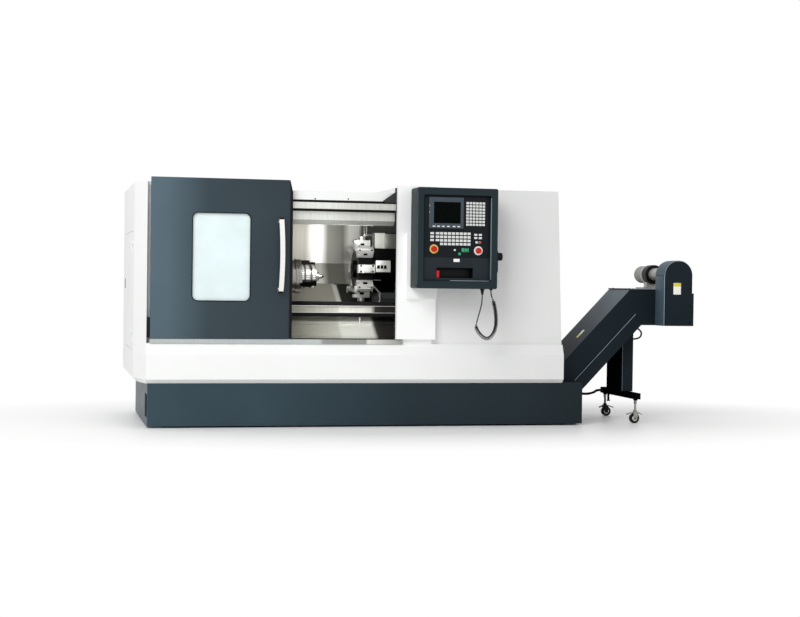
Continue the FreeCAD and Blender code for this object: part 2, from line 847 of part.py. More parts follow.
def door_header():
    x0 = door_x0
    track_z0 = track_z1 - track_height
    track = block(x0, column_x0, track_y, panel_y, track_z0, track_z1)
    brush = block(x0, column_x0, panel_y - 10, panel_y, track_z1, track_z1 + brush_height)
    z = track_z0 - recess_height
    profile = [(panel_y, track_z0), (panel_y, z + 2), (panel_y + 24, z),
               (panel_y + 24, z - valance_height), (panel_y + 70, z - valance_height - valance_lip)]
    valance = prism_x(folded(profile, sheet), splash_x0 + sheet, column_x0)
    return joined([track, brush, valance])


def column_cover():
    line = [(column_x0, column_front + column_lip), (column_x0, column_front),
            (column_x1, column_front),
            (column_x1, right_panel_y)]
    walls = prism_z(folded(line, sheet), column_bottom, column_top)
    cap = block(column_x0, column_x1, column_front, right_panel_y, column_top - sheet, column_top)
    shelf = block(column_x0, column_x1, column_front, right_panel_y, column_bottom,
                  column_bottom + sheet)
    foot = block(sill_x1, column_x1 - 20, 10, right_panel_y, belt_top, column_bottom)
    arm = block(arm_x0, column_x1, control_front + control_depth, column_front, arm_bottom,
                arm_top)
    return joined([walls, cap, shelf, foot, arm])


def right_cover():
    def hull(inset, extra):
        front = right_panel_y + inset
        rear = body_rear_y - sheet + extra
        left = column_x0 + 3 - extra
        low = [(left, front), (body_right_x - inset, front), (body_right_x - inset, rear),
               (left, rear)]
        top = [(left, front), (body_right_top_x - inset, front),
               (body_right_top_x - inset, rear), (left, rear)]
        return lofted(low, belt_top - extra, top, body_top - inset)
    shell = hull(0, 0).cut(hull(sheet, 0.01))
    cable_way = block(column_x0 + 60, column_x1 - 60, right_panel_y - 5, right_panel_y + 10,
                      control_bottom, control_bottom + 200)
    sill_notch = block(column_x0, sill_x1, right_panel_y - 5, panel_y + 1, belt_top - 1,
                       sill_z1)
    step = block(column_x0 + sheet, column_x0 + 2 * sheet, panel_y + 45, body_rear_y - sheet,
                 middle_top - sheet, body_top - 1)
    seam = block(column_x1 + 3, body_right_x + 5, right_panel_y - 1, right_panel_y + 1.2,
                 seam_z - 2, seam_z + 2)
    return joined([shell, step]).cut([cable_way, sill_notch, seam])


# ---- sliding door ----
def door_panel():
    x1 = door_x0 + door_width
    y1 = door_front + door_thick
    outline = [(door_x0, door_bottom), (x1, door_bottom), (x1, door_top - 4 * door_corner),
               (x1 - door_corner, door_top), (door_x0, door_top)]
    pan = prism_y(outline, door_front, y1)
    hollow = prism_y(shifted(outline, sheet), door_front + sheet, y1 - sheet)
    bevel = prism_z([(x1 - door_edge, door_front - 1), (x1 + 1, door_front - 1),
                     (x1 + 1, door_front + 16), (x1, door_front + 15)], door_bottom - 1,
                    door_top + 1)
    bevel_core = prism_z([(x1 - door_edge - sheet, door_front), (x1 + 1, door_front),
                          (x1 + 1, door_front + 16 + sheet), (x1 - sheet, door_front + 15 + sheet)],
                         door_bottom, door_top)
    f = window_frame
    sleeve = rounded_plate(window_x0 - f, window_x1 + f, window_z0 - f, window_z1 + f,
                           door_front, y1, window_radius + f)
    opening = rounded_plate(window_x0, window_x1, window_z0, window_z1, door_front - 1,
                            y1 + 1, window_radius)
    glass_seat = rounded_plate(window_x0 - 10, window_x1 + 10, window_z0 - 10, window_z1 + 10,
                               door_front + 14, door_front + 22, window_radius + 10)
    body = pan.cut(hollow.cut(bevel_core)).cut(bevel)
    runners = []
    for x in (door_x0 + 90, x1 - 150):
        runners.append(block(x, x + 60, door_front + 10, y1, sill_z1 + slide_gap, door_bottom))
        runners.append(block(x, x + 60, y1, track_y - slide_gap, track_z1 - track_height + 4,
                             track_z1 - 4))
    return joined([body, sleeve] + runners).cut([opening, glass_seat])


def door_window():
    return rounded_plate(window_x0 - 10, window_x1 + 10, window_z0 - 10, window_z1 + 10,
                         door_front + 14, door_front + 22, window_radius + 10)


def door_handle():
    """A flat bar that bows out from the door between two feet."""
    x0 = handle_x - handle_width / 2
    y = door_front - handle_out
    line = Part.Arc(V(x0, y, handle_z0),
                    V(x0 + handle_sway, y - handle_bow, (handle_z0 + handle_z1) / 2),
                    V(x0, y, handle_z1)).toShape()
    bar = line.extrude(V(0, handle_thick, 0)).extrude(V(handle_width, 0, 0))
    feet = [block(x0, x0 + handle_width, y + handle_thick / 2, door_front, z, z + handle_foot)
            for z in (handle_z0, handle_z1 - handle_foot)]
    return joined([bar] + feet)


# ---- control box ----
def recess():
    return (control_x0 + recess_side, control_x0 + control_width - recess_side,
            control_bottom + recess_end, control_bottom + control_height - recess_end)


def on_panel(across, down):
    """A place on the control panel, from the box's top left corner."""
    return (control_x0 + across, control_bottom + control_height - down)


def control_housing():
    x0, x1 = control_x0, control_x0 + control_width
    z0, z1 = control_bottom, control_bottom + control_height
    y0, y1 = control_front, control_front + control_depth
    w = control_wall
    shell = rounded_plate(x0, x1, z0, z1, y0, y1, control_corner)
    hollow = block(x0 + w, x1 - w, y0 + control_frame, y1 - w, z0 + w, z1 - w)
    rx0, rx1, rz0, rz1 = recess()
    mouth = rounded_plate(rx0, rx1, rz0, rz1, y0 - 1, y0 + control_frame + 1, 18)
    glands = [rod(V(x, gland_y(), z0 - 1), UP, w + 2, 9 + 0.01) for x in gland_places()]
    return shell.cut([hollow, mouth] + glands)


PANEL_FRONT = control_front + control_frame
PANEL_THICK = 3.0
LCD = (88.0, 343.0, 68.0, 290.0)
SCREEN = (125.0, 320.0, 103.0, 253.0)
SLOT = (150.0, 420.0, 571.0, 645.0)
STOP_LEFT = (128.0, 439.0)
STOP_RIGHT = (457.0, 446.0)
START = (317.0, 471.0)
HOLD = (366.0, 441.0)
stop_head = 20.0
stop_ring = 33.0
stop_stem = 8.0
stop_travel = 6.0
button_radius = 10.0
button_travel = 3.0


def panel_box(area, y0, y1):
    x0, z1 = on_panel(area[0], area[2])
    x1, z0 = on_panel(area[1], area[3])
    return block(x0, x1, y0, y1, z0, z1)


def control_panel():
    rx0, rx1, rz0, rz1 = recess()
    back = PANEL_FRONT + PANEL_THICK
    plate = block(rx0 - 12, rx1 + 12, PANEL_FRONT, back, rz0 - 12, rz1 + 12)
    bezel = panel_box(LCD, PANEL_FRONT - 8, PANEL_FRONT)
    glass = panel_box(SCREEN, PANEL_FRONT - 9, PANEL_FRONT - 3)
    pieces = [plate, bezel.cut(glass)]
    cuts = []
    for place in (STOP_LEFT, STOP_RIGHT):
        x, z = on_panel(*place)
        pieces.append(rod(V(x, PANEL_FRONT - 4, z), REAR, 4, stop_ring))
        cuts.append(rod(V(x, PANEL_FRONT - 5, z), REAR, 20, stop_stem + running_gap))
    for place in (START, HOLD):
        x, z = on_panel(*place)
        cuts.append(rod(V(x, PANEL_FRONT - 5, z), REAR, 20, button_radius + running_gap))
    tray_area = (SLOT[0] - 4, SLOT[1] + 4, SLOT[2] - 4, SLOT[3] + 4)
    pieces.append(panel_box(tray_area, PANEL_FRONT, PANEL_FRONT + 60))
    cuts.append(panel_box(SLOT, PANEL_FRONT - 5, PANEL_FRONT + 56))
    return joined(pieces).cut(cuts)


def screen():
    return panel_box(SCREEN, PANEL_FRONT - 6, PANEL_FRONT - 3)


def key_grid(first, pitch, columns, rows, size, height):
    keys = []
    for row in range(rows):
        for column in range(columns):
            x, z = on_panel(first[0] + column * pitch[0], first[1] + row * pitch[1])
            keys.append(block(x - size[0] / 2, x + size[0] / 2, PANEL_FRONT - height,
                              PANEL_FRONT, z - size[1] / 2, z + size[1] / 2))
    return keys


def panel_keys():
    keys = key_grid((374, 106), (24, 22), 6, 8, (18, 15), 4)
    keys += key_grid((114, 326), (40, 24.5), 2, 3, (26, 15), 4)
    keys += key_grid((184, 326), (29, 25.3), 8, 4, (22, 17), 4)
    keys += key_grid((437, 332), (34, 23), 2, 2, (22, 14), 4)
    keys += key_grid((444, 386), (24, 1), 2, 1, (16, 14), 4)
    return group(keys)


def stop_button(place):
    x, z = on_panel(*place)
    face = PANEL_FRONT - 4
    head = rod(V(x, face - stop_travel - 18, z), REAR, 17, stop_head)
    rim = [e for e in head.Edges if abs(e.BoundBox.YMin - (face - stop_travel - 18)) < 1e-6
           and e.BoundBox.YLength < 1e-6 and e.Length > stop_head]
    head = head.makeFillet(6, rim)
    stem = rod(V(x, face - stop_travel - 2, z), REAR, stop_travel + 2 + 4 + PANEL_THICK + 6,
               stop_stem)
    return joined([head, stem])


def round_button(place):
    x, z = on_panel(*place)
    return rod(V(x, PANEL_FRONT - 7, z), REAR, 7 + PANEL_THICK + 5, button_radius)


PENDANT = (443.0, 598.0)
pendant_thick = 22.0
pendant_width = 82.0
dial_radius = 30.0


def pendant():
    x0 = control_x0 + control_width
    z1 = control_bottom + control_height - PENDANT[0]
    z0 = control_bottom + control_height - PENDANT[1]
    y = control_front + control_depth / 2
    body = block(x0, x0 + pendant_thick, y - pendant_width / 2, y + pendant_width / 2, z0, z1)
    upright = [e for e in body.Edges if is_along(e, RIGHT)]
    body = body.makeFillet(12, upright)
    x, z = x0 + pendant_thick, z1 - 42
    boss = rod(V(x - 1, y, z), RIGHT, 4, 20)
    hole = rod(V(x - 12, y, z), RIGHT, 20, 5 + running_gap)
    return joined([body, boss]).cut(hole)


def pendant_dial():
    x0 = control_x0 + control_width + pendant_thick + 3
    z = control_bottom + control_height - PENDANT[0] - 42
    y = control_front + control_depth / 2
    disc = rod(V(x0 + slide_gap, y, z), RIGHT, 11, dial_radius)
    knob = rod(V(x0 + 11, y + 17, z), RIGHT, 6, 6)
    stem = rod(V(x0 - 12, y, z), RIGHT, 13, 5)
    return joined([disc, knob, stem])


# ---- cords and cables ----
def gland_places():
    return (control_x0 + 512, control_x0 + 577)


def gland_y():
    return control_front + 95


def strain_relief():
    z = control_bottom
    x0, x1 = gland_places()
    collar = rod(V(x0, gland_y(), z - 8), UP, 8, 17)
    sleeve = Part.makeCone(13, 7.5, 33, V(x0, gland_y(), z - 8), DOWN)
    stub = rod(V(x0, gland_y(), z - 8), UP, 18, 9)
    small = rod(V(x1, gland_y(), z - 9), UP, 9, 12)
    small_stub = rod(V(x1, gland_y(), z - 9), UP, 19, 9)
    return group([joined([collar, sleeve, stub]), joined([small, small_stub])])


def tube_path(points):
    """Straight runs joined by tangent arcs, each arc as large as its two runs allow."""
    edges = []
    radii = []
    start = points[0]
    for i in range(1, len(points) - 1):
        corner = points[i]
        into = corner.sub(points[i - 1])
        out = points[i + 1].sub(corner)
        turn = into.getAngle(out)
        reach = 0.45 * min(into.Length, out.Length)
        a = corner.sub(V(into).normalize().multiply(reach))
        b = corner.add(V(out).normalize().multiply(reach))
        arc_radius = reach / math.tan(turn / 2)
        radii.append(arc_radius)
        inward = V(out).normalize().sub(V(into).normalize()).normalize()
        centre = corner.add(V(inward).multiply(math.hypot(arc_radius, reach)))
        middle = centre.sub(V(inward).multiply(arc_radius))
        edges.append(Part.LineSegment(start, a).toShape())
        edges.append(Part.Arc(a, middle, b).toShape())
        start = b
    edges.append(Part.LineSegment(start, points[-1]).toShape())
    return Part.Wire(edges), radii


def tube(points, radius):
    path, radii = tube_path(points)
    section = Part.Wire([Part.Circle(points[0], points[1].sub(points[0]), radius).toShape()])
    solid = path.makePipeShell([section], True, False)
    expected = math.pi * radius * radius * path.Length
    print("tube radii", [round(r) for r in radii], "volume ratio",
          round(solid.Volume / expected, 6))
    return solid


def cord_points():
    """The pendant's cord from the first gland to the second: thin, curly and thin again."""
    x0, x1 = gland_places()
    y = gland_y()
    z = control_bottom
    start = V(x0, y, z - 41)
    left = [start, V(x0, y, z - 84), V(x0 - 10, y - 3, z - 136), V(x0 - 26, y - 7, z - 186),
            V(x0 - 38, y - 9, z - 230)]
    into = left[-1].sub(left[-2]).normalize()
    left_end = left[-1].add(V(into).multiply(14))
    curly = [left_end, left_end.add(V(into).multiply(36)), V(x0 - 25, y - 11, z - 320),
             V(x0 + 6, y - 12, z - 350), V(x0 + 36, y - 12, z - 362),
             V(x0 + 66, y - 12, z - 350), V(x0 + 92, y - 11, z - 310),
             V(x0 + 104, y - 10, z - 262), V(x0 + 104, y - 8, z - 205),
             V(x0 + 96, y - 6, z - 140), V(x0 + 84, y - 3, z - 90), V(x1 + 9, y - 1, z - 62)]
    out = curly[-1].sub(curly[-2]).normalize()
    right = [curly[-1], curly[-1].add(V(out).multiply(20)), V(x1, y, z - 26), V(x1, y, z - 9)]
    left = left[:-1] + [left_end]
    return left, curly, right


def cable_points():
    """The conveyor's supply cable, from the base to the beam, and its loop under the head."""
    y = 760.0
    side = beam_middle_x - beam_size / 2
    z = beam_z0 + beam_size / 2
    lower = [V(base_length, y, 246), V(base_length + 62, y, 246),
             V(base_length + 150, y + 6, 212), V(base_length + 245, y + 16, 182),
             V(base_length + 320, y + 26, 176), V(base_length + 385, y + 38, 190),
             V(side - 50, y + 46, z), V(side, y + 46, z)]
    yh = leg_y0 + 30
    side = leg_x0 + leg_width
    upper = [V(side + 40, yh, head_bottom), V(side + 40, yh, head_bottom - 28),
             V(side + 78, yh, head_bottom - 52), V(side + 76, yh, head_bottom - 92),
             V(side + 40, yh, head_bottom - 112), V(side, yh, head_bottom - 112)]
    return lower, upper


def curly_guide(points):
    """The middle line of the curly cord as lengths of line and arc, with its whole length."""
    edges = tube_path(points)[0].Edges
    lengths = [e.Length for e in edges]
    return edges, lengths, sum(lengths)


def on_guide(guide, s):
    edges, lengths, whole = guide
    s = min(max(s, 0.0), whole)
    for edge, length in zip(edges, lengths):
        if s <= length or edge is edges[-1]:
            at = edge.getParameterByLength(min(s, length))
            return edge.valueAt(at), edge.tangentAt(at)
        s -= length


def ease(t):
    t = min(max(t, 0.0), 1.0)
    return t * t * (3 - 2 * t)


def curls(points):
    """The curly cord: one wire wound round its middle line, straight out at both ends."""
    guide = curly_guide(points)
    whole = guide[2]
    radius = curly_radius - curl_wire / 2

    def grown(s):
        return min(ease(s / curl_lead), ease((whole - s) / curl_lead))

    def pitch(s):
        return curl_end_pitch + (curl_pitch - curl_end_pitch) * grown(s)

    def at(s, phase):
        point, along = on_guide(guide, s)
        side = REAR.cross(along).normalize()
        other = along.cross(side)
        reach = radius * grown(s)
        return point.add(side.multiply(reach * math.cos(phase))).add(
            other.multiply(reach * math.sin(phase)))

    steps = 4000
    phases = [0.0]
    for i in range(steps):
        phases.append(phases[-1] + 2 * math.pi * whole / steps / pitch((i + 0.5) * whole / steps))
    turns = round(phases[-1] / math.pi) / 2.0
    scale = turns * 2 * math.pi / phases[-1]
    phases = [p * scale for p in phases]

    def place(phase):
        low, high = 0, steps
        while high - low > 1:
            middle = (low + high) // 2
            low, high = (middle, high) if phases[middle] <= phase else (low, middle)
        part = (phase - phases[low]) / (phases[high] - phases[low])
        return (low + part) * whole / steps

    def point_at(phase):
        return at(place(phase), phase)

    count = int(round(4 * turns))
    nodes = []
    for i in range(count + 1):
        phase = i * math.pi / 2
        before = point_at(max(phase - 0.02, 0.0))
        after = point_at(min(phase + 0.02, turns * 2 * math.pi))
        nodes.append((point_at(phase), after.sub(before).normalize()))
    start, end = on_guide(guide, 0.0), on_guide(guide, whole)
    nodes[0] = start
    nodes[-1] = end
    edges = []
    tightest = 1e9
    for (p0, t0), (p1, t1) in zip(nodes[:-1], nodes[1:]):
        edges_here, tight = biarc(p0, t0, p1, t1)
        edges += edges_here
        tightest = min(tightest, tight)
    path = Part.Wire(edges)
    section = Part.Wire([Part.Circle(nodes[0][0], nodes[0][1], curl_wire / 2).toShape()])
    solid = path.makePipeShell([section], True, False)
    expected = math.pi * curl_wire ** 2 / 4 * path.Length
    gap = least_gap([point_at(turns * 2 * math.pi * i / (count * 6)) for i in range(count * 6 + 1)])
    print("curls", turns, "tightest arc", round(tightest, 2), "least gap", round(gap, 2),
          "volume ratio", round(solid.Volume / expected, 4))
    return solid


def least_gap(points):
    """The least gap of the wound wire to itself, between points over half a turn apart."""
    least = 1e9
    for i, p in enumerate(points):
        for q in points[i + 12:i + 80]:
            least = min(least, p.distanceToPoint(q))
    return least - curl_wire


def biarc(p0, t0, p1, t1):
    """Two tangent arcs from p0 to p1 that leave along t0 and arrive along t1."""
    v = p1.sub(p0)
    t = t0.add(t1)
    a = v.dot(v)
    b = v.dot(t)
    c = 2 * (1 - t0.dot(t1))
    d = a / (2 * b) if c < 1e-12 else (-b + math.sqrt(b * b + c * a)) / c
    q0 = p0.add(V(t0).multiply(d))
    q1 = p1.sub(V(t1).multiply(d))
    middle = q0.add(q1).multiply(0.5)
    first, r0 = tangent_arc(p0, t0, middle)
    second, r1 = tangent_arc(p1, V(t1).negative(), middle)
    return [first, second], min(r0, r1)


def tangent_arc(start, tangent, end):
    """The arc, or line, that leaves start along tangent and reaches end."""
    chord = end.sub(start)
    across = chord.sub(V(tangent).multiply(chord.dot(tangent)))
    if across.Length < 1e-6 * chord.Length:
        return Part.LineSegment(start, end).toShape(), 1e9
    radius = chord.dot(chord) / (2 * across.Length)
    centre = start.add(V(across).normalize().multiply(radius))
    half = start.add(end).multiply(0.5).sub(centre).normalize().multiply(radius)
    return Part.Arc(start, centre.add(half), end).toShape(), radius


# ---- conveyor ----
def conveyor_outline():
    return [(conveyor_tail_x, conveyor_low), (bend_low_x, conveyor_low),
            (bend_high_x, head_bottom), (head_end_x, head_bottom), (head_end_x, head_deck),
            (upper_bend_x, head_deck), (upper_start_x, conveyor_high),
            (conveyor_tail_x, conveyor_high)]


def shaft_mouth(y0, y1):
    return rod(V(head_shaft_x, y0, head_shaft_z), REAR, y1 - y0, shaft_radius + running_gap)


def conveyor_housing():
    y0 = conveyor_y0
    y1 = conveyor_y0 + conveyor_width
    w = conveyor_wall
    outline = conveyor_outline()
    body = prism_y(outline, y0, y1)
    inside = prism_y(shifted(outline, w), y0 + w, y1 - w)
    feed = block(conveyor_tail_x + 40, upper_start_x - 20, y0 + 12, y1 - 12,
                 conveyor_high - 2 * w, conveyor_high + 1)
    discharge = block(bend_high_x + 90, head_end_x - 20, y0 + 12, y1 - 12, head_bottom - 1,
                      head_bottom + 2 * w)
    slope = (head_bottom - conveyor_low) / (bend_high_x - bend_low_x)
    x0 = base_length + 1
    z0 = conveyor_low + slope * (x0 - bend_low_x)
    lean = math.hypot(1, slope)
    rise = skirt_height * lean
    skirt = [(x0, z0), (bend_high_x, head_bottom), (bend_high_x - 46, head_bottom + 86),
             (x0, z0 + rise)]
    skirts = [prism_y(skirt, y0 - skirt_out, y0 + w), prism_y(skirt, y1 - w, y1 + skirt_out)]
    bosses = [rod(V(head_shaft_x, y0 - skirt_out, head_shaft_z), REAR, skirt_out, 45),
              rod(V(head_shaft_x, y1, head_shaft_z), REAR, 14, 45)]
    lid = [(upper_bend_x - 8, head_deck), (head_end_x, head_deck), (head_end_x, head_deck + 6),
           (upper_bend_x - 8, head_deck + 6)]
    lid_plate = prism_y(lid, y0 - 6, y1 + 6)
    skids = [block(conveyor_tail_x + 90, bend_low_x - 80, y, y + 40, foot_height + base_floor,
                   conveyor_low) for y in (y0 + 30, y1 - 70)]
    shell = body.cut([inside, feed, discharge])
    shell = joined([shell, lid_plate] + skirts + bosses + skids)
    return shell.cut([shaft_mouth(y0 - 20, y0 + 10), shaft_mouth(y1 - 10, y1 + 20)])


def conveyor_belt():
    middle = (conveyor_low + conveyor_high) / 2
    slope = (head_bottom - conveyor_low) / (bend_high_x - bend_low_x)
    line = [(conveyor_tail_x + 85, middle), (0, middle), (0, head_shaft_z),
            (head_shaft_x, head_shaft_z)]
    low_shift = (bend_low_x + upper_start_x) / 2
    high_shift = low_shift + (head_shaft_z - middle) / slope
    line[1] = (low_shift, middle)
    line[2] = (high_shift, head_shaft_z)
    y0 = conveyor_y0 + 24
    y1 = conveyor_y0 + conveyor_width - 24

    def band(radius, a, b):
        upper = shifted(line, radius, closed=False)
        lower = shifted(line, -radius, closed=False)
        strip = prism_y(lower + upper[::-1], a, b)
        ends = [rod(V(x, a, z), REAR, b - a, radius) for x, z in (line[0], line[-1])]
        return joined([strip] + ends)
    inner = belt_radius - belt_band
    return band(belt_radius, y0, y1).cut(band(inner, y0 - 1, y1 + 1))


def tail_drum():
    middle = (conveyor_low + conveyor_high) / 2
    inner = belt_radius - belt_band
    x = conveyor_tail_x + 85
    drum = rod(V(x, conveyor_y0 + conveyor_wall, middle), REAR,
               conveyor_width - 2 * conveyor_wall, inner - slide_gap)
    return drum


def head_shaft():
    y1 = conveyor_y0 + conveyor_width
    shaft = rod(V(head_shaft_x, guard_front + 40, head_shaft_z), REAR,
                y1 + 30 - guard_front - 40, shaft_radius)
    wheels = []
    for y in (conveyor_y0 + 60, y1 - 90):
        wheels.append(rod(V(head_shaft_x, y, head_shaft_z), REAR, 30,
                          belt_radius - belt_band - slide_gap))
    chain_wheel = rod(V(head_shaft_x, guard_front + 90, head_shaft_z), REAR, 14, 62)
    return joined([shaft, chain_wheel] + wheels)


def chain_guard():
    radius = guard_width / 2
    x1 = guard_x0 + guard_width
    centre_x = guard_x0 + radius
    depth = conveyor_y0 - skirt_out - guard_front

    def hood(inset, y0, y1):
        low = block(guard_x0 + inset, x1 - inset, y0, y1, head_bottom + inset, guard_arch_z)
        arch = rod(V(centre_x, y0, guard_arch_z), REAR, y1 - y0, radius - inset)
        step = block(x1 - 30, x1 + guard_step - inset, y0, y1, head_bottom + inset,
                     guard_step_z - inset)
        return joined([low, arch, step])
    y1 = guard_front + depth
    shell = hood(0, guard_front, y1).cut(hood(sheet, guard_front + sheet, y1 - sheet))
    hole = rod(V(head_shaft_x, y1 - 10, head_shaft_z), REAR, 20, shaft_radius + 3)
    return shell.cut(hole)


def gearmotor():
    y = conveyor_y0 - skirt_out
    stages = ((0, 254, 49), (254, 373, 73), (373, 520, 66), (520, 548, 56))
    body = [rod(V(motor_x, y + a, motor_z), REAR, b - a, radius) for a, b, radius in stages]
    fins = ring(V(motor_x, y + 268, motor_z), REAR, 12, 74, 66)
    foot = block(motor_x - 50, motor_x + 40, y + 290, y + 350, head_deck + 6, motor_z - 60)
    plate = block(motor_x - 85, motor_x + 75, y + 250, y + 430, head_deck + 6, head_deck + 16)
    return joined(body + [foot, plate]).cut(fins)


def leg_top(x):
    slope = (head_bottom - conveyor_low) / (bend_high_x - bend_low_x)
    return conveyor_low + slope * (x - bend_low_x)


def support_leg():
    x1 = leg_x0 + leg_width
    outline = [(leg_x0, beam_z0 + beam_size), (x1, beam_z0 + beam_size), (x1, leg_top(x1)),
               (leg_x0, leg_top(leg_x0))]
    post = prism_y(outline, leg_y0, leg_y0 + leg_depth)
    core = prism_y([(leg_x0 + 4, beam_z0), (x1 - 4, beam_z0), (x1 - 4, leg_top(x1 - 4) - 6),
                    (leg_x0 + 4, leg_top(leg_x0 + 4) - 6)], leg_y0 + 4, leg_y0 + leg_depth - 4)
    x0 = beam_middle_x - beam_size / 2
    beam = block(x0, x0 + beam_size, beam_y0, beam_y1, beam_z0, beam_z0 + beam_size)
    nuts = [rod(V(x, y, beam_z0 - 12), UP, 13, 16) for x, y in caster_places()]
    jack = rod(V(beam_middle_x, jack_y, jack_z0), UP, beam_z0 - jack_z0 + 1, jack_radius)
    jack_foot = rod(V(beam_middle_x, jack_y, jack_z0 - 8), UP, 10, jack_radius + 4)
    holes = [rod(V(x, y, beam_z0 - 13), UP, 60, 8 + running_gap) for x, y in caster_places()]
    return joined([post.cut(core), beam, jack, jack_foot] + nuts).cut(holes)


def caster_places():
    return [(beam_middle_x, y) for y in (beam_y0 + caster_inset, beam_y1 - caster_inset)]


def caster_fork(place, side):
    """The threaded stem, fork and brake pedal of a caster that trails to one side."""
    x, y = place
    top = 2 * caster_radius
    stem = rod(V(x, y, top + 12), UP, beam_z0 + 30 - top - 12, 8)
    collar = rod(V(x, y, top + 10), UP, 14, 15)
    half = caster_width / 2 + 3
    wx = x + side * caster_offset
    crown = block(x - 20, x + 20, y - half - 4, y + half + 4, top + 4, top + 11)
    cheeks = []
    for way in (-1, 1):
        y0 = y + way * (half + 2) - 2
        outline = [(x - 20, top + 5), (wx - 14, caster_radius - 13), (wx + 14, caster_radius - 13),
                   (x + 20, top + 5)]
        cheeks.append(prism_y(outline, y0, y0 + 4))
    pedals = [prism_y([(x + side * a, top + 11), (x + side * b, top - 4), (x + side * b, top - 11),
                       (x + side * a, top + 4)], y - 14, y + 14)
              for a, b in ((18, pedal_long), (-18, -pedal_short))]
    fork = joined([stem, collar, crown] + pedals + cheeks)
    bore = rod(V(wx, y - 40, caster_radius), REAR, 80, 5 + running_gap)
    return fork.cut(bore)


def caster_wheel(place, side):
    x, y = place
    wx = x + side * caster_offset
    half = caster_width / 2
    tyre = rod(V(wx, y - half, caster_radius), REAR, caster_width, caster_radius)
    rims = [e for e in tyre.Edges if e.BoundBox.YLength < 1e-6 and e.Length > caster_radius]
    tyre = tyre.makeFillet(5, rims)
    axle = rod(V(wx, y - half - 9, caster_radius), REAR, caster_width + 18, 5)
    return joined([tyre, axle])


def build():
    PARTS["base_tray"] = base_tray()
    PARTS["levelling_feet"] = levelling_feet()
    PARTS["bed_casting"] = bed_casting()
    PARTS["bed_rails"] = bed_rails()
    PARTS["headstock"] = headstock()
    PARTS["spindle"] = spindle()
    PARTS["chuck_body"] = chuck_body()
    for i, angle in enumerate(JAW_ANGLES):
        PARTS["jaw_%d" % (i + 1)] = jaw(angle)
    PARTS["drive_centre"] = drive_centre()
    PARTS["saddle"] = saddle()
    PARTS["z_screw"] = z_screw()
    PARTS["way_cover_fixed"] = way_cover(splash_x0 + sheet, fixed_cover_x1, cover_n)
    PARTS["way_cover_moving"] = way_cover(saddle_x0 - moving_cover_length, saddle_x0,
                                          cover_n - cover_pitch)
    PARTS["cross_slide"] = cross_slide()
    PARTS["turret_housing"] = turret_housing()
    PARTS["turret_disc"] = turret_disc()
    PARTS["tool_holders"] = tool_holders()
    PARTS["tailstock_body"] = tailstock_body()
    PARTS["tailstock_quill"] = tailstock_quill()
    PARTS["back_splash"] = back_splash()
    PARTS["chip_chute"] = chip_chute()
    PARTS["body_belt"] = body_belt()
    PARTS["sill_strip"] = sill_strip()
    PARTS["left_cover"] = left_cover()
    PARTS["side_door"] = side_door()
    PARTS["rear_cover"] = rear_cover()
    PARTS["door_header"] = door_header()
    PARTS["column_cover"] = column_cover()
    PARTS["right_cover"] = right_cover()
    PARTS["door_panel"] = door_panel()
    PARTS["door_window"] = door_window()
    PARTS["door_handle"] = door_handle()
    PARTS["control_housing"] = control_housing()
    PARTS["control_panel"] = control_panel()
    PARTS["screen"] = screen()
    PARTS["panel_keys"] = panel_keys()
    PARTS["estop_left"] = stop_button(STOP_LEFT)
    PARTS["estop_right"] = stop_button(STOP_RIGHT)
    PARTS["start_button"] = round_button(START)
    PARTS["hold_button"] = round_button(HOLD)
    PARTS["pendant"] = pendant()
    PARTS["pendant_dial"] = pendant_dial()
    PARTS["strain_relief"] = strain_relief()
    left, curly, right = cord_points()
    PARTS["cord_left"] = tube(left, thin_cord)
    PARTS["cord_curly"] = curls(curly)
    PARTS["cord_right"] = tube(right, thin_cord)
    lower, upper = cable_points()
    PARTS["cable_lower"] = tube(lower, cable_radius)
    PARTS["cable_upper"] = tube(upper, loop_radius)
    PARTS["conveyor_housing"] = joined([conveyor_housing(), tail_drum()])
    PARTS["conveyor_belt"] = conveyor_belt()
    PARTS["head_shaft"] = head_shaft()
    PARTS["chain_guard"] = chain_guard()
    PARTS["gearmotor"] = gearmotor()
    PARTS["support_leg"] = support_leg()
    for name, place, side in zip(("near", "far"), caster_places(), (-1, 1)):
        PARTS["caster_fork_" + name] = caster_fork(place, side)
        PARTS["caster_wheel_" + name] = caster_wheel(place, side)


build()
BOX = Part.Compound([s for n, s in PARTS.items() if n not in CORD_NODES]).optimalBoundingBox(False)
SHIFT = V(-(BOX.XMin + BOX.XMax) / 2, -(BOX.YMin + BOX.YMax) / 2, 0)
os.makedirs("parts", exist_ok=True)
for node, shape in PARTS.items():
    placed = shape.copy()
    placed.translate(SHIFT)
    placed.exportStep("parts/%s.step" % node)
    solids = placed.Solids
    if not placed.isValid() or not solids:
        print("CHECK", node, "valid", placed.isValid(), "solids", len(solids))
print("nodes", len(PARTS), "shift", SHIFT, "box", BOX)
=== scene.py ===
"""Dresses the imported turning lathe: materials for its metalwork and glass, the control panel's
face, cords and cables, trim, fasteners, and the stage with its lights and camera."""

import math

import bmesh
import bpy
from bpy.props import FloatProperty, FloatVectorProperty, IntProperty, PointerProperty
from mathutils import Matrix, Vector


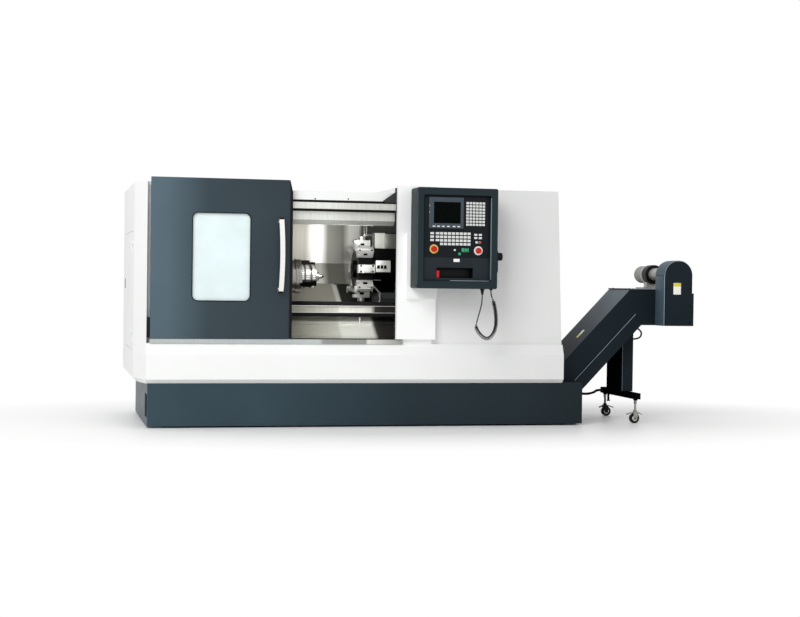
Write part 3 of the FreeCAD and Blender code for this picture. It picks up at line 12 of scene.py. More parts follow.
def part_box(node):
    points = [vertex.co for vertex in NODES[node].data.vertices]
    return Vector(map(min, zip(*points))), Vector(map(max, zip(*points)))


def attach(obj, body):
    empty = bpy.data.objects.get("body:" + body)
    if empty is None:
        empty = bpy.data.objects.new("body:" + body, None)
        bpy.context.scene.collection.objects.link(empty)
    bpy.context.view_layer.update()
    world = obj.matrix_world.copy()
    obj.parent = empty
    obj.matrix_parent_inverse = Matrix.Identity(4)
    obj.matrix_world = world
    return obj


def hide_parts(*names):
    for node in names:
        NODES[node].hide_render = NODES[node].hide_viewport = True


bl_info = {
    "name": "Turning lathe dresser",
    "version": (1, 0, 0),
    "blender": (4, 5, 0),
    "location": "View3D > Sidebar > Lathe",
    "description": "Builds the visible finish of a turning lathe with a chip conveyor",
    "category": "Object",
}

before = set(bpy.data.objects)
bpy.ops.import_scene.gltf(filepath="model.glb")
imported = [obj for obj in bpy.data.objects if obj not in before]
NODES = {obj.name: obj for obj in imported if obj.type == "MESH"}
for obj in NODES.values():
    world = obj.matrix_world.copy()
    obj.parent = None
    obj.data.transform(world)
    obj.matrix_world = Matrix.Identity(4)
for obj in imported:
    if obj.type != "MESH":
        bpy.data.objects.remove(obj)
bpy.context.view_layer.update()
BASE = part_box("base_tray")[0]
MATERIALS = {}

# Axes and faces, in millimetres from the base's front left corner; angles in radians.
SPINDLE_Y, SPINDLE_Z = 480, 1085
TURRET_Y, TURRET_Z = 842.1, 1149.7
STATIONS = [math.radians(45 * k) for k in range(8)]
MOTOR_X, MOTOR_Z = 3955, 1137
GUARD_LEFT, GUARD_X, GUARD_Z, GUARD_RADIUS = 3863, 3975.5, 1129, 112.5
INCLINE_DEG = 46.45
BOX_FRONT = -260
PANEL_LEFT, PANEL_TOP, PANEL_FRONT = 1873, 1730, -235
SLOT_BACK = -179.2
REAR_WALL = 1630
SHEET_LEFT, SHEET_RIGHT = 1000, 1800
WHITE = (1, 1, 1, 1)


def mm(x, y, z):
    """A point from the base's front left corner, in millimetres, as a place in the frame."""
    return Vector((BASE[0] + x / 1000, BASE[1] + y / 1000, z / 1000))


# ---- sizes and colours that a user may change ----
class LatheSizes(bpy.types.PropertyGroup):
    thin_cord: FloatProperty(name="Thin cord", description="Diameter of the pendant's lead",
                             default=0.0086, unit="LENGTH")
    curl_wire: FloatProperty(name="Curl wire", description="Diameter of the wire that is curled",
                             default=0.0065, unit="LENGTH")
    curl_radius: FloatProperty(name="Curl radius", description="Radius of the curls' middle line",
                               default=0.0115, unit="LENGTH")
    curl_pitch: FloatProperty(name="Curl pitch", description="Distance between two curls",
                              default=0.0102, unit="LENGTH")
    supply_cable: FloatProperty(name="Supply cable", description="Diameter of the conveyor cable",
                                default=0.02, unit="LENGTH")
    loop_cable: FloatProperty(name="Loop cable", description="Diameter of the cable at the head",
                              default=0.013, unit="LENGTH")
    screw_radius: FloatProperty(name="Screw head", description="Radius of a cover screw's head",
                                default=0.006, unit="LENGTH")
    slat_count: IntProperty(name="Belt plates", default=26, min=2,
                            description="Hinge plates on the belt's level run")


class LatheColours(bpy.types.PropertyGroup):
    white: FloatVectorProperty(name="White paint", description="Paint of the body's covers",
                               default=(0.87, 0.88, 0.87), subtype="COLOR", min=0, max=1)
    slate: FloatVectorProperty(name="Slate paint", description="Paint of the sliding door",
                               default=(0.081, 0.125, 0.155), subtype="COLOR", min=0, max=1)
    base: FloatVectorProperty(name="Base paint", description="Paint of the base",
                              default=(0.038, 0.066, 0.084), subtype="COLOR", min=0, max=1)
    dark: FloatVectorProperty(name="Dark paint", description="Paint of the conveyor",
                              default=(0.010, 0.016, 0.021), subtype="COLOR", min=0, max=1)


# ---- shader helpers ----
class Nodes:
    """Adds and links shader or geometry nodes in one tree."""

    def __init__(self, tree):
        self.tree = tree

    def add(self, kind, inputs=None, **settings):
        node = self.tree.nodes.new(kind)
        for key, value in settings.items():
            setattr(node, key, value)
        for key, value in (inputs or {}).items():
            self.set(node, key, value)
        return node

    def set(self, node, key, value):
        socket = node.inputs[key]
        if isinstance(value, bpy.types.NodeSocket):
            self.tree.links.new(value, socket)
        else:
            socket.default_value = value


def linear(colour):
    """A colour written as sRGB bytes, as linear values."""
    out = []
    for c in colour:
        c = c / 255
        out.append(c / 12.92 if c <= 0.04045 else ((c + 0.055) / 1.055) ** 2.4)
    return (*out, 1.0)


def new_material(name):
    """An empty surface: the material, its node helper, its shader and the place on the piece."""
    material = bpy.data.materials.new(name)
    material.use_nodes = True
    tree = material.node_tree
    tree.nodes.clear()
    n = Nodes(tree)
    shader = n.add("ShaderNodeBsdfPrincipled")
    out = n.add("ShaderNodeOutputMaterial")
    tree.links.new(shader.outputs[0], out.inputs[0])
    place = n.add("ShaderNodeTexCoord").outputs["Object"]
    MATERIALS[name] = material
    return material, n, shader, place


def colour_ramp(n, factor, stops):
    ramp = n.add("ShaderNodeValToRGB", {"Fac": factor})
    elements = ramp.color_ramp.elements
    while len(elements) < len(stops):
        elements.new(0.5)
    for element, (position, colour) in zip(elements, stops):
        element.position = position
        element.color = colour
    return ramp.outputs["Color"]


def noise(n, place, scale, detail=3.0, roughness=0.5):
    return n.add("ShaderNodeTexNoise", {"Vector": place, "Scale": scale, "Detail": detail,
                                        "Roughness": roughness}).outputs["Fac"]


def stretched(n, place, scale):
    return n.add("ShaderNodeMapping", {"Vector": place, "Scale": scale}).outputs[0]


def bumped(n, shader, height, strength, distance):
    bump = n.add("ShaderNodeBump", {"Height": height, "Strength": strength,
                                    "Distance": distance})
    n.set(shader, "Normal", bump.outputs[0])


def spread(n, factor, low, high):
    return n.add("ShaderNodeMapRange", {"Value": factor, "To Min": low,
                                        "To Max": high}).outputs[0]


def shaded(colour, factor):
    return tuple(min(1.0, c * factor) for c in colour[:3]) + (1.0,)


def multiplied(n, first, second):
    mix = n.add("ShaderNodeMix", data_type="RGBA", blend_type="MULTIPLY")
    n.set(mix, 0, 1.0)
    n.set(mix, 6, first)
    n.set(mix, 7, second)
    return mix.outputs[2]


def along_x(n, place, x0, x1):
    """0 to 1 between two places along the machine's front."""
    across = n.add("ShaderNodeSeparateXYZ", {"Vector": place}).outputs["X"]
    return n.add("ShaderNodeMapRange", {"Value": across, "From Min": mm(x0, 0, 0).x,
                                        "From Max": mm(x1, 0, 0).x}).outputs[0]


def paint(name, base, roughness, texture=0.12, variation=0.05, shine=0.12, fall=None):
    """Sprayed paint on sheet metal: a fine orange peel, slow shifts of tone and gloss. With
    fall, (x0, x1, tones) shades it along the front, as light from the left does."""
    material, n, shader, place = new_material(name)
    colour = colour_ramp(n, noise(n, place, 1.7, 2.0), [
        (0.3, shaded(base, 1 - variation)), (0.7, shaded(base, 1 + variation))])
    if fall:
        x0, x1, tones = fall
        colour = multiplied(n, colour, colour_ramp(n, along_x(n, place, x0, x1), [
            (position, (tone, tone, tone, 1)) for position, tone in tones]))
    n.set(shader, "Base Color", colour)
    n.set(shader, "Roughness", spread(n, noise(n, place, 9.0), roughness - 0.05,
                                      roughness + 0.07))
    n.set(shader, "Specular IOR Level", shine)
    bumped(n, shader, noise(n, place, 420.0, 2.0), texture, 0.0004)
    return material


def lit_slope(material, light):
    """Paints a highlight on the conveyor's sloping top, growing towards its head."""
    n = Nodes(material.node_tree)
    shader = next(x for x in material.node_tree.nodes if x.type == "BSDF_PRINCIPLED")
    paint_colour = shader.inputs["Base Color"].links[0].from_socket
    place = n.add("ShaderNodeTexCoord").outputs["Object"]
    facing = n.add("ShaderNodeVectorMath", {
        0: n.add("ShaderNodeNewGeometry").outputs["Normal"], 1: (-0.725, 0, 0.689)},
        operation="DOT_PRODUCT").outputs["Value"]
    top = n.add("ShaderNodeMapRange", {"Value": facing, "From Min": 0.95,
                                       "From Max": 0.99}).outputs[0]
    up = n.add("ShaderNodeMath", {0: along_x(n, place, 3150, 3680), 1: 1.6},
               operation="POWER").outputs[0]
    factor = n.add("ShaderNodeMath", {0: top, 1: up}, operation="MULTIPLY").outputs[0]
    mix = n.add("ShaderNodeMix", data_type="RGBA")
    n.set(mix, 0, factor)
    n.set(mix, 6, paint_colour)
    n.set(mix, 7, light)
    n.set(shader, "Base Color", mix.outputs[2])


def metal(name, colour, roughness, grain, grain_scale, depth=0.15, variation=0.12,
          metallic=1.0):
    """Bare metal with a grain along one way: brushed sheet, turned or ground steel."""
    _, n, shader, place = new_material(name)
    lines = noise(n, stretched(n, place, grain), grain_scale, 4.0, 0.7)
    base = linear(colour)
    n.set(shader, "Base Color", colour_ramp(n, lines, [
        (0.3, shaded(base, 1 - variation)), (0.7, shaded(base, 1 + variation))]))
    n.set(shader, "Metallic", metallic)
    n.set(shader, "Roughness", spread(n, lines, roughness - 0.06, roughness + 0.1))
    bumped(n, shader, lines, depth, 0.0004)


def sheet_with_painted_reflections(name, stops):
    """Brushed stainless sheet whose colour holds broad upright bands of painted reflection and
    shade.
    """
    _, n, shader, place = new_material(name)
    painted_light_bands = colour_ramp(n, along_x(n, place, SHEET_LEFT, SHEET_RIGHT),
                        [(p, linear(c)) for p, c in stops])
    lines = noise(n, stretched(n, place, (1.0, 1.0, 0.02)), 90.0, 3.0, 0.6)
    tone = colour_ramp(n, lines, [(0.3, (0.86, 0.86, 0.86, 1)), (0.7, (1, 1, 1, 1))])
    n.set(shader, "Base Color", multiplied(n, painted_light_bands, tone))
    n.set(shader, "Metallic", 0.3)
    n.set(shader, "Roughness", spread(n, lines, 0.29, 0.42))
    bumped(n, shader, lines, 0.1, 0.0003)


def plastic(name, colour, roughness, grain=0.1, shine=0.15):
    """Moulded plastic or rubber: a fine grain and slight shifts of tone and gloss."""
    _, n, shader, place = new_material(name)
    n.set(shader, "Specular IOR Level", shine)
    base = linear(colour)
    n.set(shader, "Base Color", colour_ramp(n, noise(n, place, 6.0),
                                            [(0.3, shaded(base, 0.92)), (0.7, base)]))
    n.set(shader, "Roughness", spread(n, noise(n, place, 40.0), roughness - 0.04,
                                      roughness + 0.05))
    bumped(n, shader, noise(n, place, 900.0, 2.0), grain, 0.0003)


def make_materials():
    colours = bpy.context.scene.lathe_colours
    # The falls below paint light and shade into the colour along the front: the covers, the door
    # and the base are lighter at the left, where the key lamp stands, and darker to the right.
    paint("white_paint", colours.white, 0.38, variation=0.02, shine=0.3,
          fall=(-90, 3060, ((0.0, 1.0), (0.62, 1.0), (0.86, 0.86), (1.0, 0.84))))
    # A lighter copy of the white paint for the column: painted light, as the column stands
    # brighter in the lamps' light than the other covers.
    paint("lit_column_paint", (0.96, 0.97, 0.96), 0.38, variation=0.02, shine=0.3)
    paint("slate_paint", colours.slate, 0.34, 0.2, 0.08, 0.2,
          fall=(14, 1019, ((0.0, 1.0), (0.12, 0.95), (0.4, 0.42), (1.0, 0.3))))
    paint("base_paint", colours.base, 0.38, 0.2, 0.08, 0.12,
          fall=(0, 3218, ((0.0, 1.0), (0.25, 0.9), (0.6, 0.42), (1.0, 0.26))))
    # The conveyor's dark paint, with a painted highlight on its sloping top.
    sloped = paint("dark_paint", colours.dark, 0.5, 0.2, 0.1, 0.06)
    lit_slope(sloped, linear((104, 114, 122)))
    # A lighter copy of the conveyor's dark paint: painted light on faces turned to the key lamp,
    # on the guard's left side and the control box's left corner.
    paint("lit_side_paint", linear((72, 88, 100)), 0.45, 0.2, 0.06)
    paint("leg_paint", linear((8, 10, 13)), 0.9, 0.2, 0.1, 0.0)
    paint("control_paint", linear((34, 46, 50)), 0.45, 0.25, 0.05, 0.1)
    paint("iron_paint", linear((58, 60, 60)), 0.5, 0.4, 0.1)
    # Pale paint for edges that catch the light: painted highlights.
    paint("edge_highlight_paint", linear((140, 154, 164)), 0.4, 0.1, 0.05)
    metal("motor_paint", (176, 176, 172), 0.42, (1.0, 24.0, 1.0), 14.0, metallic=0.5)
    # Each sheet's stops are painted reflections and painted shade: bright bands where lamps and
    # room mirror in the sheet, dark stretches where it lies in shade.
    sheet_with_painted_reflections("stainless_sheet", [
        (0.0, (104, 101, 93)), (0.26, (140, 137, 127)), (0.4, (147, 144, 134)),
        (0.5, (250, 250, 243)), (0.55, (250, 250, 243)), (0.62, (129, 129, 120)),
        (0.78, (126, 126, 117)), (0.85, (250, 250, 242)), (0.93, (250, 250, 242)),
        (0.97, (120, 120, 114)), (1.0, (104, 104, 99))])
    sheet_with_painted_reflections("header_sheet", [
        (0.0, (222, 223, 218)), (0.35, (236, 238, 232)), (0.6, (214, 215, 208)),
        (1.0, (206, 206, 200))])
    sheet_with_painted_reflections("way_sheet", [
        (0.0, (120, 116, 106)), (0.4, (176, 173, 161)), (0.63, (190, 187, 176)),
        (0.65, (244, 244, 236)), (0.68, (244, 244, 236)), (0.7, (34, 33, 31)),
        (1.0, (24, 24, 23))])
    sheet_with_painted_reflections("chute_sheet", [
        (0.0, (150, 149, 138)), (0.3, (186, 185, 173)), (0.57, (214, 214, 204)),
        (0.6, (244, 245, 236)), (0.9, (240, 240, 232)), (0.94, (60, 59, 55)),
        (1.0, (44, 43, 41))])
    sheet_with_painted_reflections("sill_sheet", [
        (0.0, (186, 193, 192)), (0.28, (196, 202, 200)), (0.31, (150, 152, 148)),
        (0.7, (150, 152, 148)), (0.72, (226, 226, 220)), (1.0, (160, 160, 156))])
    metal("ground_steel", (214, 212, 208), 0.3, (1.0, 30.0, 30.0), 12.0, metallic=0.85)
    metal("bright_steel", (238, 237, 234), 0.34, (1.0, 1.0, 24.0), 14.0, 0.1, 0.06, 0.6)
    metal("turned_steel", (150, 149, 143), 0.26, (60.0, 1.0, 1.0), 10.0, metallic=0.9)
    metal("pipe_steel", (150, 149, 144), 0.35, (1.0, 1.0, 24.0), 14.0, 0.1, 0.06, 0.7)
    metal("black_steel", (26, 26, 28), 0.35, (1.0, 1.0, 1.0), 60.0)
    metal("belt_steel", (52, 54, 56), 0.4, (1.0, 20.0, 1.0), 30.0)
    plastic("frosted_pane", (226, 240, 242), 0.28, 0.02)
    plastic("black_plastic", (14, 15, 16), 0.45)
    plastic("panel_black", (13, 20, 25), 0.42)
    plastic("screen_glass", (4, 9, 8), 0.2, 0.0, 0.02)
    plastic("panel_slate", (30, 38, 43), 0.42)
    plastic("bezel_plastic", (66, 76, 84), 0.4)
    plastic("key_plastic", (226, 228, 226), 0.45)
    plastic("key_mark", (120, 126, 128), 0.5)
    plastic("red_plastic", (200, 34, 26), 0.3)
    plastic("green_plastic", (60, 160, 120), 0.3)
    plastic("ring_yellow", (240, 196, 110), 0.4)
    plastic("ring_white", (236, 232, 230), 0.4)
    plastic("plate_white", (244, 244, 236), 0.4)
    plastic("plate_yellow", (226, 206, 66), 0.4)
    plastic("rubber", (20, 20, 21), 0.6, 0.3)
    plastic("cord_rubber", (26, 26, 24), 0.5, 0.2)


# ---- mesh helpers; every size in millimetres from the base's corner ----
def rotation_to(direction):
    """The turn that takes the upright axis to a direction."""
    return Vector((0, 0, 1)).rotation_difference(Vector(direction)).to_matrix().to_4x4()


class Piece:
    """One mesh that gathers bevelled boxes, prisms, turned shapes, hoops and rims. Boxes and
    prisms are placed by the matrix at."""

    def __init__(self):
        self.bm = bmesh.new()
        self.at = Matrix.Identity(4)

    def vert(self, point):
        return self.bm.verts.new(self.at @ Vector(point))

    def loft(self, low, high):
        """A solid between two outlines with as many points each."""
        low = [self.vert(p) for p in low]
        high = [self.vert(p) for p in high]
        self.bm.faces.new(low[::-1])
        self.bm.faces.new(high)
        self.wall(low, high)
        return low + high

    def wall(self, low, high):
        """The faces between two rings with as many vertices each."""
        for i in range(len(low)):
            j = (i + 1) % len(low)
            self.bm.faces.new((low[i], low[j], high[j], high[i]))

    def circles(self, start, direction, section, segments):
        """Rings of vertices round an axis, one for each (along, radius) of a section."""
        turn = rotation_to(direction)
        rings = []
        for along, radius in section:
            ring = []
            for i in range(segments):
                a = 2 * math.pi * i / segments
                point = turn @ Vector((radius * math.cos(a), radius * math.sin(a), along))
                ring.append(self.bm.verts.new(point + Vector(start)))
            rings.append(ring)
        return rings

    def bevelled(self, verts, size):
        edges = list({e for v in verts for e in v.link_edges})
        if size:
            bmesh.ops.bevel(self.bm, geom=edges, offset=size, segments=2,
                            affect="EDGES", profile=0.5, clamp_overlap=True)

    def box(self, x0, x1, y0, y1, z0, z1, bevel=1.0):
        verts = bmesh.ops.create_cube(self.bm, size=1.0)["verts"]
        middle = Vector(((x0 + x1) / 2, (y0 + y1) / 2, (z0 + z1) / 2))
        for v in verts:
            size = Vector((v.co.x * (x1 - x0), v.co.y * (y1 - y0), v.co.z * (z1 - z0)))
            v.co = self.at @ (size + middle)
        self.bevelled(verts, min(bevel, 0.3 * min(x1 - x0, y1 - y0, z1 - z0)))
        return self

    def prism(self, outline, y0, y1, bevel=0.0):
        """An outline seen from the front, as (x, z) points, drawn out from y0 to y1."""
        self.bevelled(self.loft([(x, y0, z) for x, z in outline],
                                [(x, y1, z) for x, z in outline]), bevel)
        return self

    def turned(self, start, direction, profile, segments=32):
        """A shape of revolution: profile gives (along, radius) from one end to the other."""
        rings = self.circles(start, direction, profile, segments)
        for low, high in zip(rings[:-1], rings[1:]):
            self.wall(low, high)
        self.bm.faces.new(rings[0][::-1])
        self.bm.faces.new(rings[-1])
        return self

    def hoop(self, start, direction, outer, inner, thick):
        """A ring whose far outer edge is cut back by 0.3 of its width."""
        section = [(0, inner), (0, outer), (thick * 0.7, outer), (thick, outer - thick * 0.3),
                   (thick, inner)]
        rings = self.circles(start, direction, section, 40)
        for low, high in zip(rings, rings[1:] + rings[:1]):
            self.wall(low, high)
        return self

    def frame(self, x0, x1, z0, z1, radius, width, y0, y1):
        """A closed rim with round corners in the door's plane."""
        corners = ((x1 - radius, z1 - radius, 0), (x0 + radius, z1 - radius, 90),
                   (x0 + radius, z0 + radius, 180), (x1 - radius, z0 + radius, 270))

        def loop(inset, y):
            r = max(radius - inset, 1.0)
            return [self.bm.verts.new((cx + r * math.cos(a), y, cz + r * math.sin(a)))
                    for cx, cz, first in corners
                    for a in [math.radians(first + 15 * k) for k in range(7)]]
        loops = [loop(*edge) for edge in ((0, y1), (0, y0), (width, y0), (width, y1))]
        for low, high in zip(loops, loops[1:] + loops[:1]):
            self.wall(low, high)
        return self

    def done(self, name, body, material, slot):
        """Takes the millimetres to the frame's place and hands the piece over."""
        bm = self.bm
        bmesh.ops.recalc_face_normals(bm, faces=bm.faces)
        for v in bm.verts:
            v.co = mm(*v.co)
        mesh = bpy.data.meshes.new(name)
        bm.to_mesh(mesh)
        bm.free()
        placed(name, mesh, body, material)


def placed(name, mesh, body, material, replaces=()):
    """Shades a mesh, gives it its material and puts it on a body of the frame."""
    for polygon in mesh.polygons:
        polygon.use_smooth = True
    mesh.set_sharp_from_angle(angle=math.radians(32))
    if material:
        mesh.materials.clear()
        mesh.materials.append(MATERIALS[material])
    piece = bpy.data.objects.new(name, mesh)
    bpy.context.scene.collection.objects.link(piece)
    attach(piece, body)
    if replaces:
        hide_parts(*replaces)
    return piece


# ---- Geometry Nodes for what repeats ----
def group_tree(name, sizes):
    """An empty geometry tree with named inputs, its input node and its output node."""
    tree = bpy.data.node_groups.new(name, "GeometryNodeTree")
    tree.interface.new_socket("Geometry", in_out="INPUT", socket_type="NodeSocketGeometry")
    for key, kind in sizes:
        tree.interface.new_socket(key, in_out="INPUT", socket_type=kind)
    tree.interface.new_socket("Geometry", in_out="OUTPUT", socket_type="NodeSocketGeometry")
    n = Nodes(tree)
    return tree, n, n.add("NodeGroupInput"), n.add("NodeGroupOutput")


def ended(n, out, geometry, material):
    real = n.add("GeometryNodeRealizeInstances", {"Geometry": geometry})
    painted = n.add("GeometryNodeSetMaterial", {"Geometry": real.outputs[0]})
    painted.inputs["Material"].default_value = MATERIALS[material]
    n.set(out, 0, painted.outputs[0])


def grid_of_blocks(name, body, material, first, across, down, columns, rows, size,
                   turn=(0, 0, 0)):
    """Rows and columns of one block: key marks, belt plates, louvre blades."""
    tree, n, source, out = group_tree(name, [
        ("Columns", "NodeSocketInt"), ("Rows", "NodeSocketInt"), ("Start", "NodeSocketVector"),
        ("Across", "NodeSocketVector"), ("Down", "NodeSocketVector"),
        ("Size", "NodeSocketVector"), ("Turn", "NodeSocketVector")])
    line = n.add("GeometryNodeMeshLine", {
        "Count": source.outputs["Columns"], "Start Location": source.outputs["Start"],
        "Offset": source.outputs["Across"]})
    steps = n.add("GeometryNodeMeshLine", {"Count": source.outputs["Rows"],
                                           "Offset": source.outputs["Down"]})
    grid = n.add("GeometryNodeInstanceOnPoints", {"Points": steps.outputs[0],
                                                  "Instance": line.outputs[0]})
    places = n.add("GeometryNodeRealizeInstances", {"Geometry": grid.outputs[0]})
    block = n.add("GeometryNodeMeshCube", {"Size": source.outputs["Size"]})
    blocks = n.add("GeometryNodeInstanceOnPoints", {
        "Points": places.outputs[0], "Instance": block.outputs[0],
        "Rotation": source.outputs["Turn"]})
    ended(n, out, blocks.outputs[0], material)
    applied(name, tree, [(0, 0, 0)], body, {
        "Columns": columns, "Rows": rows, "Start": mm(*first), "Across": Vector(across) / 1000,
        "Down": Vector(down) / 1000, "Size": Vector(size) / 1000, "Turn": Vector(turn)})


def fasteners(name, body, metal_name, points, direction, radius, height):
    """Screws at given points, each a tapered head on a washer; radius and height in metres."""
    tree, n, source, out = group_tree(name, [
        ("Radius", "NodeSocketFloat"), ("Height", "NodeSocketFloat"),
        ("Turn", "NodeSocketVector")])

    def share(size, factor):
        return n.add("ShaderNodeMath", {0: source.outputs[size], 1: factor},
                     operation="MULTIPLY").outputs[0]
    head = n.add("GeometryNodeMeshCone", {
        "Vertices": 12, "Radius Top": share("Radius", 0.62),
        "Radius Bottom": source.outputs["Radius"], "Depth": source.outputs["Height"]})
    washer = n.add("GeometryNodeMeshCylinder", {
        "Vertices": 14, "Radius": share("Radius", 1.35), "Depth": share("Height", 0.3)})
    both = n.add("GeometryNodeJoinGeometry")
    n.set(both, 0, head.outputs[0])
    n.tree.links.new(washer.outputs[0], both.inputs[0])
    heads = n.add("GeometryNodeInstanceOnPoints", {
        "Points": source.outputs["Geometry"], "Instance": both.outputs[0],
        "Rotation": source.outputs["Turn"]})
    ended(n, out, heads.outputs[0], metal_name)
    turn = rotation_to(direction).to_euler()
    applied(name, tree, [mm(*p) for p in points], body,
            {"Radius": radius, "Height": height, "Turn": Vector(turn)})


def applied(name, tree, points, body, values):
    """Runs a geometry tree on points and keeps its result as one plain mesh."""
    mesh = bpy.data.meshes.new(name)
    mesh.from_pydata([tuple(p) for p in points], [], [])
    carrier = bpy.data.objects.new(name + "_places", mesh)
    bpy.context.scene.collection.objects.link(carrier)
    modifier = carrier.modifiers.new("repeat", "NODES")
    modifier.node_group = tree
    for item in tree.interface.items_tree:
        if item.in_out == "INPUT" and item.name in values:
            value = values[item.name]
            modifier[item.identifier] = tuple(value) if isinstance(value, Vector) else value
    view = bpy.context.evaluated_depsgraph_get()
    view.update()
    plain = bpy.data.meshes.new_from_object(carrier.evaluated_get(view))
    if not plain.polygons:
        raise RuntimeError("%s came out empty" % name)
    plain.name = name
    bpy.data.objects.remove(carrier)
    placed(name, plain, body, None)


# ---- cords ----
def spline_curve(name, points, radius=0.0):
    curve = bpy.data.curves.new(name, "CURVE")
    curve.dimensions = "3D"
    curve.resolution_u = 16
    curve.bevel_depth = radius
    curve.bevel_resolution = 4
    curve.use_fill_caps = True
    spline = curve.splines.new("NURBS")
    spline.points.add(len(points) - 1)
    for target, point in zip(spline.points, points):
        target.co = (*mm(*point), 1.0)
    spline.order_u = 3
    spline.use_endpoint_u = True
    piece = bpy.data.objects.new(name, curve)
    bpy.context.scene.collection.objects.link(piece)
    return piece


def middle_line(name, points):
    """The smooth line of a route, as Blender draws it."""
    guide = spline_curve(name, points)
    view = bpy.context.evaluated_depsgraph_get()
    view.update()
    mesh = bpy.data.meshes.new_from_object(guide.evaluated_get(view))
    line = [v.co.copy() for v in mesh.vertices]
    bpy.data.objects.remove(guide)
    return line


def line_length(line):
    return sum((b - a).length for a, b in zip(line[:-1], line[1:]))


def lay_cord(name, points, diameter, node):
    """A smooth round cord along a route, in place of the solid that stands for it."""
    length = line_length(middle_line(name + "_guide", points))
    cord = spline_curve(name, points, diameter / 2)
    cord.data.materials.append(MATERIALS["cord_rubber"])
    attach(cord, "machine")
    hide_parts(node)


def ease(t):
    t = min(max(t, 0.0), 1.0)
    return t * t * (3 - 2 * t)


def curled_line(line, radius, pitch, end_pitch, lead, steps=16):
    """Points that wind round a line, straight out of both ends."""
    lengths = [0.0]
    for a, b in zip(line[:-1], line[1:]):
        lengths.append(lengths[-1] + (b - a).length)
    whole = lengths[-1]

    def at(s):
        i = 0
        while i < len(lengths) - 2 and lengths[i + 1] < s:
            i += 1
        part = (s - lengths[i]) / (lengths[i + 1] - lengths[i])
        before, after = line[max(i - 1, 0)], line[min(i + 2, len(line) - 1)]
        return line[i].lerp(line[i + 1], part), (after - before).normalized()

    points, s, phase = [], 0.0, 0.0
    while s < whole:
        grown = min(ease(s / lead), ease((whole - s) / lead))
        point, along = at(s)
        side = Vector((0, 1, 0)).cross(along).normalized()
        other = along.cross(side)
        points.append(point + side * (radius * grown * math.cos(phase))
                      + other * (radius * grown * math.sin(phase)))
        s += (end_pitch + (pitch - end_pitch) * grown) / steps
        phase += 2 * math.pi / steps
    points.append(line[-1].copy())
    return points


def tube_mesh(name, line, radius, sides=8):
    verts, faces = [], []
    normal = Vector((0, 1, 0))
    for i, point in enumerate(line):
        along = (line[min(i + 1, len(line) - 1)] - line[max(i - 1, 0)]).normalized()
        normal = (normal - along * normal.dot(along)).normalized()
        other = along.cross(normal)
        for k in range(sides):
            a = 2 * math.pi * k / sides
            verts.append(point + normal * (radius * math.cos(a)) + other * (radius * math.sin(a)))
    for i in range(len(line) - 1):
        for k in range(sides):
            j = (k + 1) % sides
            faces.append((i * sides + k, i * sides + j, (i + 1) * sides + j, (i + 1) * sides + k))
    faces.append(tuple(range(sides))[::-1])
    faces.append(tuple((len(line) - 1) * sides + k for k in range(sides)))
    mesh = bpy.data.meshes.new(name)
    mesh.from_pydata(verts, [], faces)
    return mesh


class LATHE_OT_pendant_cord(bpy.types.Operator):
    """Hangs the pendant's cord: a thin lead, its curled stretch and a short thin end"""
    bl_idname = "lathe.pendant_cord"
    bl_label = "Pendant cord"

    def execute(self, context):
        sizes = context.scene.lathe_sizes
        left = [(2385, -165, 968), (2385, -165, 925), (2375, -168, 873), (2359, -172, 823),
                (2343.3, -174.6, 765.5)]
        curly = [(2343.3, -174.6, 765.5), (2333.9, -176.2, 730.8), (2360, -176, 689),
                 (2391, -177, 659), (2421, -177, 647), (2451, -177, 659), (2477, -176, 699),
                 (2489, -175, 747), (2489, -173, 804), (2481, -171, 869), (2469, -168, 919),
                 (2459, -166, 947)]
        right = [(2459, -166, 947), (2452.3, -164.7, 965.8), (2450, -165, 983),
                 (2450, -165, 1000)]
        lay_cord("lead_left", left, sizes.thin_cord, "cord_left")
        line = curled_line(middle_line("curl_guide", curly), sizes.curl_radius,
                           sizes.curl_pitch, end_pitch=0.026, lead=0.04)
        mesh = tube_mesh("curled_lead", line, sizes.curl_wire / 2)
        piece = placed("curled_lead", mesh, "machine", "cord_rubber", ["cord_curly"])
        lay_cord("lead_right", right, sizes.thin_cord, "cord_right")
        return {"FINISHED"}


class LATHE_OT_conveyor_cables(bpy.types.Operator):
    """Lays the conveyor's supply cable and the loop under its head"""
    bl_idname = "lathe.conveyor_cables"
    bl_label = "Conveyor cables"

    def execute(self, context):
        sizes = context.scene.lathe_sizes
        lower = [(3218, 760, 246), (3280, 760, 246), (3368, 766, 212), (3463, 776, 182),
                 (3538, 786, 176), (3603, 798, 190), (3621, 806, 207), (3671, 806, 207)]
        upper = [(3778, 345, 746), (3778, 345, 718), (3816, 345, 694), (3814, 345, 654),
                 (3778, 345, 634), (3738, 345, 634)]
        lay_cord("supply_cable", lower, sizes.supply_cable, "cable_lower")
        lay_cord("head_loop", upper, sizes.loop_cable, "cable_upper")
        return {"FINISHED"}


